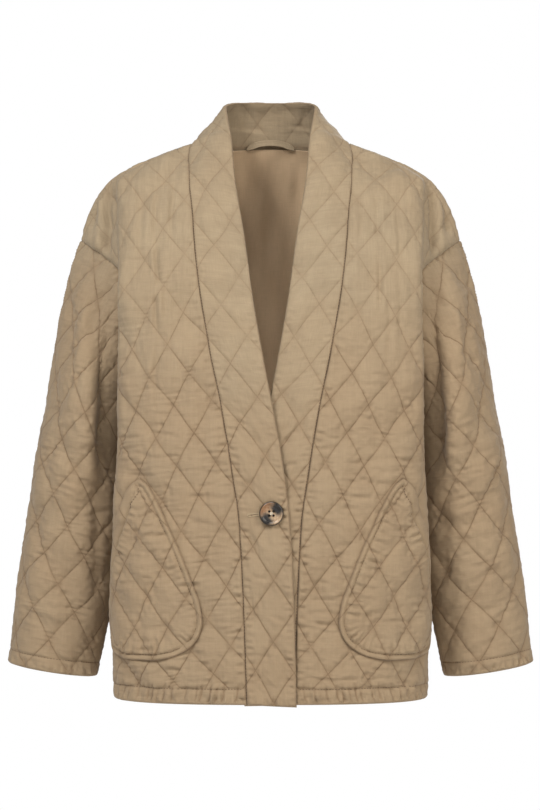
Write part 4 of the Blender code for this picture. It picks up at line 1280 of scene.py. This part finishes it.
def button():
    """A turned horn disc with a raised rim and four holes."""
    seat = float(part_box("button")[1][1]) / MM
    centre = np.array((BUTTON_X, BUTTON_Z))
    circle = beside(*turned(BUTTON_SIDES))
    corners = BUTTON_HOLE_OFFSET * circle[BUTTON_SIDES // 8::BUTTON_SIDES // 4]
    small = circle[::BUTTON_SIDES // HOLE_SIDES]

    def from_holes(places):
        return np.min([np.linalg.norm(places - corner, axis=1) for corner in corners], axis=0)

    holes = [corner + small * radius for radius in (BUTTON_HOLE, BUTTON_HOLE + 0.35)
             for corner in corners]
    inner = join(*(circle * radius for radius in np.arange(13.85, 8.5, -0.3)),
                 *(circle[::3] * radius for radius in np.arange(8.2, 0.5, -0.9)))
    inner = inner[from_holes(inner) > BUTTON_HOLE + 0.7]
    flat = join(circle * BUTTON_RADIUS, *holes, inner)
    faces = triangles(flat, BUTTON_SIDES)
    faces = faces[from_holes(flat[faces].mean(axis=1)) > BUTTON_HOLE * 0.97]
    radius = np.linalg.norm(flat, axis=1)
    face, under = (np.interp(radius, BUTTON_RADII, out) for out in (BUTTON_FACE, BUTTON_UNDER))
    rims = [BUTTON_SIDES + HOLE_SIDES * k + np.arange(HOLE_SIDES)[::-1] for k in range(4)]
    face[np.concatenate(rims)] -= 0.3
    walls = [edge_faces(rim, len(flat)) for rim in (np.arange(BUTTON_SIDES), *rims)]
    place = flat + centre
    points = join(stood(place, seat - face), stood(place, seat - under))
    made = build_mesh("button_turned", points, join(faces, faces[:, ::-1] + len(flat), *walls))
    finish_piece(made, HORN, ["button"])
    button_threads(corners, centre, seat)


def stood(places, y):
    """Flat places stood upright at a depth."""
    return beside(places[:, 0], y, places[:, 1])


def button_threads(corners, centre, seat):
    """The thread crossed in the button's holes, and near-black plugs beneath the holes that paint the
    shade inside them.
    """
    starts, ends = [], []
    for a, b in ((0, 2), (1, 3)):
        aside = np.array((-corners[a][1], corners[a][0])) / BUTTON_HOLE_OFFSET * 0.4
        for shift in (-aside, aside):
            starts.append(corners[a] * 0.66 + shift + centre)
            ends.append(corners[b] * 0.66 + shift + centre)
    depth = seat - BUTTON_FACE[0] + 0.2
    strands("stitches_button", stood(np.array(starts), depth), stood(np.array(ends), depth),
            np.tile((0.0, -1.0, 0.0), (4, 1)), CROSS_THREAD, THREAD["pale"], 1.2)
    # Painted shade: near-black plugs beneath the holes, so that they look dark.
    hole_shade_spots = corners + centre
    strands("button_hole_shade_plugs", stood(hole_shade_spots, seat - 0.7), stood(hole_shade_spots, seat - 0.1),
            np.tile((1.0, 0.0, 0.0), (4, 1)), HOLE_SHADE_RADIUS, THREAD["black"], 0.0)


def buttonhole(outside):
    """A worked slit in the right band: two rows of close stitches round a deep brown strand laid in
    the slit as its painted shade.
    """
    near = beside(*np.meshgrid(np.arange(200, 262, 2.0), np.arange(4, 54, 2.0))).reshape(-1, 2)
    fit = np.linalg.lstsq(beside(*frontal(outside(near)[0]).T, 1.0), near, rcond=None)[0]
    slit = beside(*np.array(BUTTONHOLE).T, 1.0) @ fit
    span = slit[1] - slit[0]
    size = np.linalg.norm(span)
    span = span / size
    square = np.array((-span[1], span[0]))
    at = np.arange(0, size, SLIT_PITCH)
    starts, ends = [], []
    for way in (-1, 1):
        lip = slit[0] + at[:, None] * span + square * way * SLIT_HALF
        starts.append(lip)
        ends.append(lip + square * way * SLIT_STITCH)
    angle = np.linspace(-math.pi / 2, math.pi / 2, 7)
    fan = -span * np.cos(angle)[:, None] + square * np.sin(angle)[:, None]
    starts.append(slit[0] + fan * SLIT_HALF)
    ends.append(slit[0] + fan * SLIT_END)
    # The second strand is painted shade: a deep brown spindle along the slit, where its opening lies
    # in shadow.
    for name, first, last, radius, thread, arch in (
            ("stitches_buttonhole", np.concatenate(starts), np.concatenate(ends), SLIT_THREAD,
             "tan", 1.0),
            ("buttonhole_slit_shade", slit[:1], slit[1:], SLIT_RADIUS, "slit_shade", 0.0)):
        start, out = outside(first)
        end = outside(last)[0]
        lift = out * SLIT_LIFT
        strands(name, start + lift, end + lift, out, radius, THREAD[thread], arch)


# Materials ---------------------------------------------------------------------------------------

class Nodes:
    """A short way to write the nodes of a material or a world."""

    def __init__(self, owner):
        owner.use_nodes = True
        self.owner, self.tree = owner, owner.node_tree

    def add(self, kind, inputs=(), **settings):
        node = self.tree.nodes.new("ShaderNode" + kind)
        for key, value in settings.items():
            setattr(node, key, value)
        for key, value in dict(inputs).items():
            self.put(node.inputs[key], value)
        return node

    def put(self, socket, value):
        if hasattr(value, "links"):
            self.tree.links.new(value, socket)
        else:
            socket.default_value = value

    def finish(self, node="Principled BSDF", **values):
        """Values and links on the main node's sockets, named with underscores for spaces."""
        for key, value in values.items():
            self.put(self.tree.nodes[node].inputs[key.replace("_", " ")], value)
        return self.owner

    def map(self, name):
        return self.add("UVMap", uv_map=name).outputs[0]

    def attribute(self, name):
        return self.add("Attribute", attribute_name=name).outputs["Fac"]

    def place(self):
        return self.add("NewGeometry").outputs["Position"]

    def axes(self, vector):
        return self.add("SeparateXYZ", {"Vector": vector}).outputs

    def math(self, operation, *values):
        node = self.add("Math", operation=operation)
        for socket, value in zip(node.inputs, values):
            self.put(socket, value)
        return node.outputs[0]

    def times(self, first, *others):
        for value in others:
            first = self.math("MULTIPLY", first, value)
        return first

    def span(self, value, low, high, to_low=0.0, to_high=1.0):
        """A value brought smoothly from one range to another, and held at its ends."""
        node = self.add("MapRange", interpolation_type="SMOOTHSTEP")
        for socket, given in zip(node.inputs, (value, low, high, to_low, to_high)):
            self.put(socket, given)
        return node.outputs[0]

    def noise(self, vector, scale, detail=2.0, rough=0.5):
        return self.add("TexNoise", {"Vector": vector, "Scale": scale, "Detail": detail,
                                     "Roughness": rough}).outputs["Fac"]

    def streaks(self, vector, scale, detail=2.0):
        """Noise stretched by its own scale along each axis."""
        stretched = self.add("Mapping", {"Vector": vector, "Scale": scale}).outputs["Vector"]
        return self.noise(stretched, 1.0, detail)

    def weave(self, flat, fine, warp, weft, detail):
        """Threads of a plain weave, with how fine they are and how coarse along their length."""
        both = self.math("ADD", self.streaks(flat, (fine, warp, 1), detail),
                         self.streaks(flat, (weft, fine, 1), detail))
        return self.times(both, 0.5)

    def blend(self, share, first, second, kind="MIX"):
        node = self.add("Mix", data_type="RGBA", blend_type=kind)
        for key, value in (("Factor", share), ("A", first), ("B", second)):
            socket = [s for s in node.inputs if s.name == key and s.enabled][0]
            self.put(socket, value)
        return [s for s in node.outputs if s.enabled][0]

    def tinted(self, colour, tone):
        """A colour made lighter or darker by a value near 1."""
        grey = self.add("CombineColor", {0: tone, 1: tone, 2: tone}).outputs[0]
        return self.blend(1.0, colour, grey, "MULTIPLY")

    def bump(self, height, distance, strength=1.0, normal=None):
        inputs = {"Height": height, "Distance": distance, "Strength": strength}
        if normal is not None:
            inputs["Normal"] = normal
        return self.add("Bump", inputs).outputs["Normal"]


def cloth_material():
    """Washed plain-weave cotton with slubs and brown quilting thread, with painted shade in its
    stitch-line ditches, gathers and edges and over its puckered lower parts.
    """
    m = Nodes(bpy.data.materials.new("quilted_cotton"))
    flat, place, lattice = m.map("cloth"), m.place(), m.axes(m.map("quilt"))
    relief, edge, lively, quilted = map(m.attribute, ("height", "edge", "lively", "quilted"))
    threads = m.weave(flat, 1300, 55, 60, 3)
    slubs = m.streaks(flat, (260, 9, 1))
    blotch = m.noise(place, 26.0, 3, 0.6)
    fade = m.noise(place, 7.0)

    colour = m.blend(m.span(blotch, 0.3, 0.7), CLOTH_DARK, CLOTH_PALE)
    colour = m.blend(m.times(m.span(fade, 0.35, 0.65), 0.35), colour, CLOTH_WARM)
    colour = m.tinted(colour, m.span(threads, 0.3, 0.7, 0.91, 1.08))
    colour = m.tinted(colour, m.span(slubs, 0.3, 0.7, 0.965, 1.03))
    # Painted shade: the puckered lower parts are darker and warmer, where their wrinkles shade each
    # other.
    colour = m.blend(m.span(lively, CALM_SHARE, 1.0, 0.0, 0.4), colour, CLOTH_PAINTED_LOW_SHADE)
    # Painted shade in the quilting's ditches, where the relief is low, stronger in the puckered lower
    # parts and left off the hems.
    hollow = m.times(m.span(relief, 0.0, 0.35, 0.5, 0.0), lively, quilted)
    colour = m.blend(hollow, colour, CLOTH_PAINTED_SHADE)

    # The quilting lines: brown dashes are the thread; between them the line keeps about half its
    # strength as painted ditch shade, and it is drawn stronger in the puckered lower parts, also
    # painted shade.
    lines = []
    for k in range(2):
        away = m.times(m.math("PINGPONG", lattice[k], 0.5), LINE_GAP)
        step = m.times(lattice[1 - k], LINE_GAP / QUILT_STITCH)
        dash = m.span(m.math("PINGPONG", step, 0.5), 0.05, 0.14, 0.55, 1.0)
        lines.append(m.times(m.span(away, 0.2, 0.75, 1.0, 0.0), dash))
    uneven = m.span(m.noise(place, 40.0, 1), 0.35, 0.65, 0.45, 1.2)
    shown = m.times(m.span(lively, CALM_SHARE, 1.0, *QUILT_LINE), uneven, quilted)
    colour = m.blend(m.times(m.math("MAXIMUM", *lines), shown), colour, THREAD_BROWN)
    # Painted shade along outlines and seams, in the hems' gathers and round the pocket, from the edge
    # value.
    colour = m.blend(m.times(edge, 0.5), colour, CLOTH_PAINTED_SHADE)

    crease = m.times(m.streaks(flat, (45, 260, 1)), lively)
    normal = m.bump(m.noise(place, 210.0, 3, 0.6), 0.0006, 0.5)
    normal = m.bump(crease, 0.0011, 0.6, normal)
    normal = m.bump(threads, 0.00012, 0.6, normal)
    return m.finish(Base_Color=colour, Normal=normal, Specular_IOR_Level=0.25, Sheen_Weight=0.12,
                    Sheen_Roughness=0.5, Roughness=m.span(blotch, 0.3, 0.7, 0.82, 0.95))


def lining_material():
    """Plain-woven cotton lining, closer and smoother than the outside, with a faint sheen, and
    painted sheen and shade in soft vertical streaks.
    """
    m = Nodes(bpy.data.materials.new("plain_lining"))
    threads = m.weave(m.map("cloth"), 1500, 60, 60, 2)
    # Painted sheen and shade: the colour goes lighter and darker in soft vertical streaks over
    # position.
    shade = m.streaks(m.place(), (30, 30, 4))
    colour = m.blend(m.span(shade, 0.3, 0.7), LINING_DARK, LINING_PALE)
    colour = m.tinted(colour, m.span(threads, 0.3, 0.7, 0.93, 1.06))
    return m.finish(Base_Color=colour, Normal=m.bump(threads, 0.00008, 0.5), Sheen_Weight=0.2,
                    Roughness=m.span(shade, 0.3, 0.7, 0.52, 0.62), Specular_IOR_Level=0.4)


def thread_material(name, colour):
    """Spun sewing thread, a little uneven."""
    m = Nodes(bpy.data.materials.new(name))
    place = m.place()
    tone = m.span(m.noise(place, 900.0), 0.3, 0.7, 0.8, 1.15)
    rough = m.span(m.noise(place, 400.0), 0.3, 0.7, 0.6, 0.8)
    return m.finish(Base_Color=m.tinted(colour, tone), Roughness=rough, Sheen_Weight=0.1)


def horn_material():
    """Polished horn: amber above on the left, cream across the middle, black in two clouds, with a
    painted shade ring at the rim.
    """
    m = Nodes(bpy.data.materials.new("mottled_horn"))
    spot = m.add("Mapping", {"Vector": m.place(), "Scale": (1000, 1000, 1000),
                             "Location": (-BUTTON_X, 0, -BUTTON_Z)}).outputs["Vector"]
    grain = m.streaks(spot, (0.5, 1, 0.5), 3)
    x, _, z = m.axes(spot)
    sway = m.times(m.math("SUBTRACT", m.noise(spot, 0.14), 0.5), 9.0)
    across = m.math("ADD", m.math("SUBTRACT", z, x), sway)
    upward = m.math("ABSOLUTE", m.math("ADD", m.math("ADD", z, x), sway))
    colour = m.blend(m.span(grain, 0.3, 0.7, 0.25, 0.85), HORN_BROWN, HORN_CREAM)
    colour = m.blend(m.span(across, 1.0, 15.0, 0.0, 0.9), colour, HORN_AMBER)
    black = m.times(m.span(upward, 2.0, 9.0), m.span(across, -18.0, -6.0),
                    m.span(across, 4.0, 14.0, 1.0, 0.15))
    colour = m.blend(black, colour, HORN_BLACK)
    # Painted shade: the button goes black in a ring round its rim.
    radius = m.math("SQRT", m.math("ADD", m.times(x, x), m.times(z, z)))
    colour = m.blend(m.span(radius, 12.0, 13.3, 0.0, 0.88), colour, HORN_BLACK)
    return m.finish(Base_Color=colour, Coat_Weight=0.25, Coat_Roughness=0.15,
                    Roughness=m.span(grain, 0.3, 0.7, 0.24, 0.36))


# Light, floor and camera -------------------------------------------------------------------------

def area_light(name, place, aim, size, power, colour):
    data = bpy.data.lights.new(name, "AREA")
    data.size = size
    data.energy = power
    data.color = colour
    light = placed(name, data)
    light.location = place
    light.rotation_euler = (Vector(aim) - Vector(place)).to_track_quat("-Z", "Y").to_euler()


def studio():
    world = bpy.data.worlds.new("white_studio")
    w = Nodes(world)
    level = w.math("ABSOLUTE", w.axes(w.add("TexCoord").outputs["Generated"])["Z"])
    w.finish("Background", Color=w.blend(w.span(level, *WORLD_BAND), WORLD_LIGHT, WORLD_DIM))
    bpy.context.scene.world = world
    for lamp in LAMPS:
        area_light(*lamp)
    bpy.ops.mesh.primitive_circle_add(
        vertices=96, radius=FLOOR_RADIUS, fill_type="NGON", location=(0, 0, FLOOR_Z * MM))
    floor = bpy.context.active_object
    floor.name = "studio_floor"
    pale = Nodes(bpy.data.materials.new("pale_floor"))
    floor.data.materials.append(pale.finish(Base_Color=FLOOR_COLOUR, Roughness=0.8))
    bpy.context.scene.view_settings.view_transform = "Standard"


def camera():
    data = bpy.data.cameras.new("camera")
    data.sensor_fit = "VERTICAL"
    data.sensor_height = SENSOR
    data.lens = SENSOR * CAMERA_AWAY / (FRAME_HEIGHT * PIXEL)
    data.clip_end = 50
    made = placed("camera", data)
    made.location = (CAMERA_X * MM, -CAMERA_AWAY * MM, CAMERA_Z * MM)
    made.rotation_euler = (math.pi / 2, 0, 0)
    bpy.context.scene.camera = made


camera()
studio()
CLOTH, LINING, HORN = cloth_material(), lining_material(), horn_material()
THREAD = {name: thread_material("thread_" + name, colour) for name, colour in THREADS.items()}
front(-1, "right", RIGHT_CREASES, 100)
front(1, "left", LEFT_CREASES, 200)
back(300)
back_lining(350)
sleeve(-1, "right", 400)
sleeve(1, "left", 500)
buttonhole(band(600))
button()
hanger_loop()
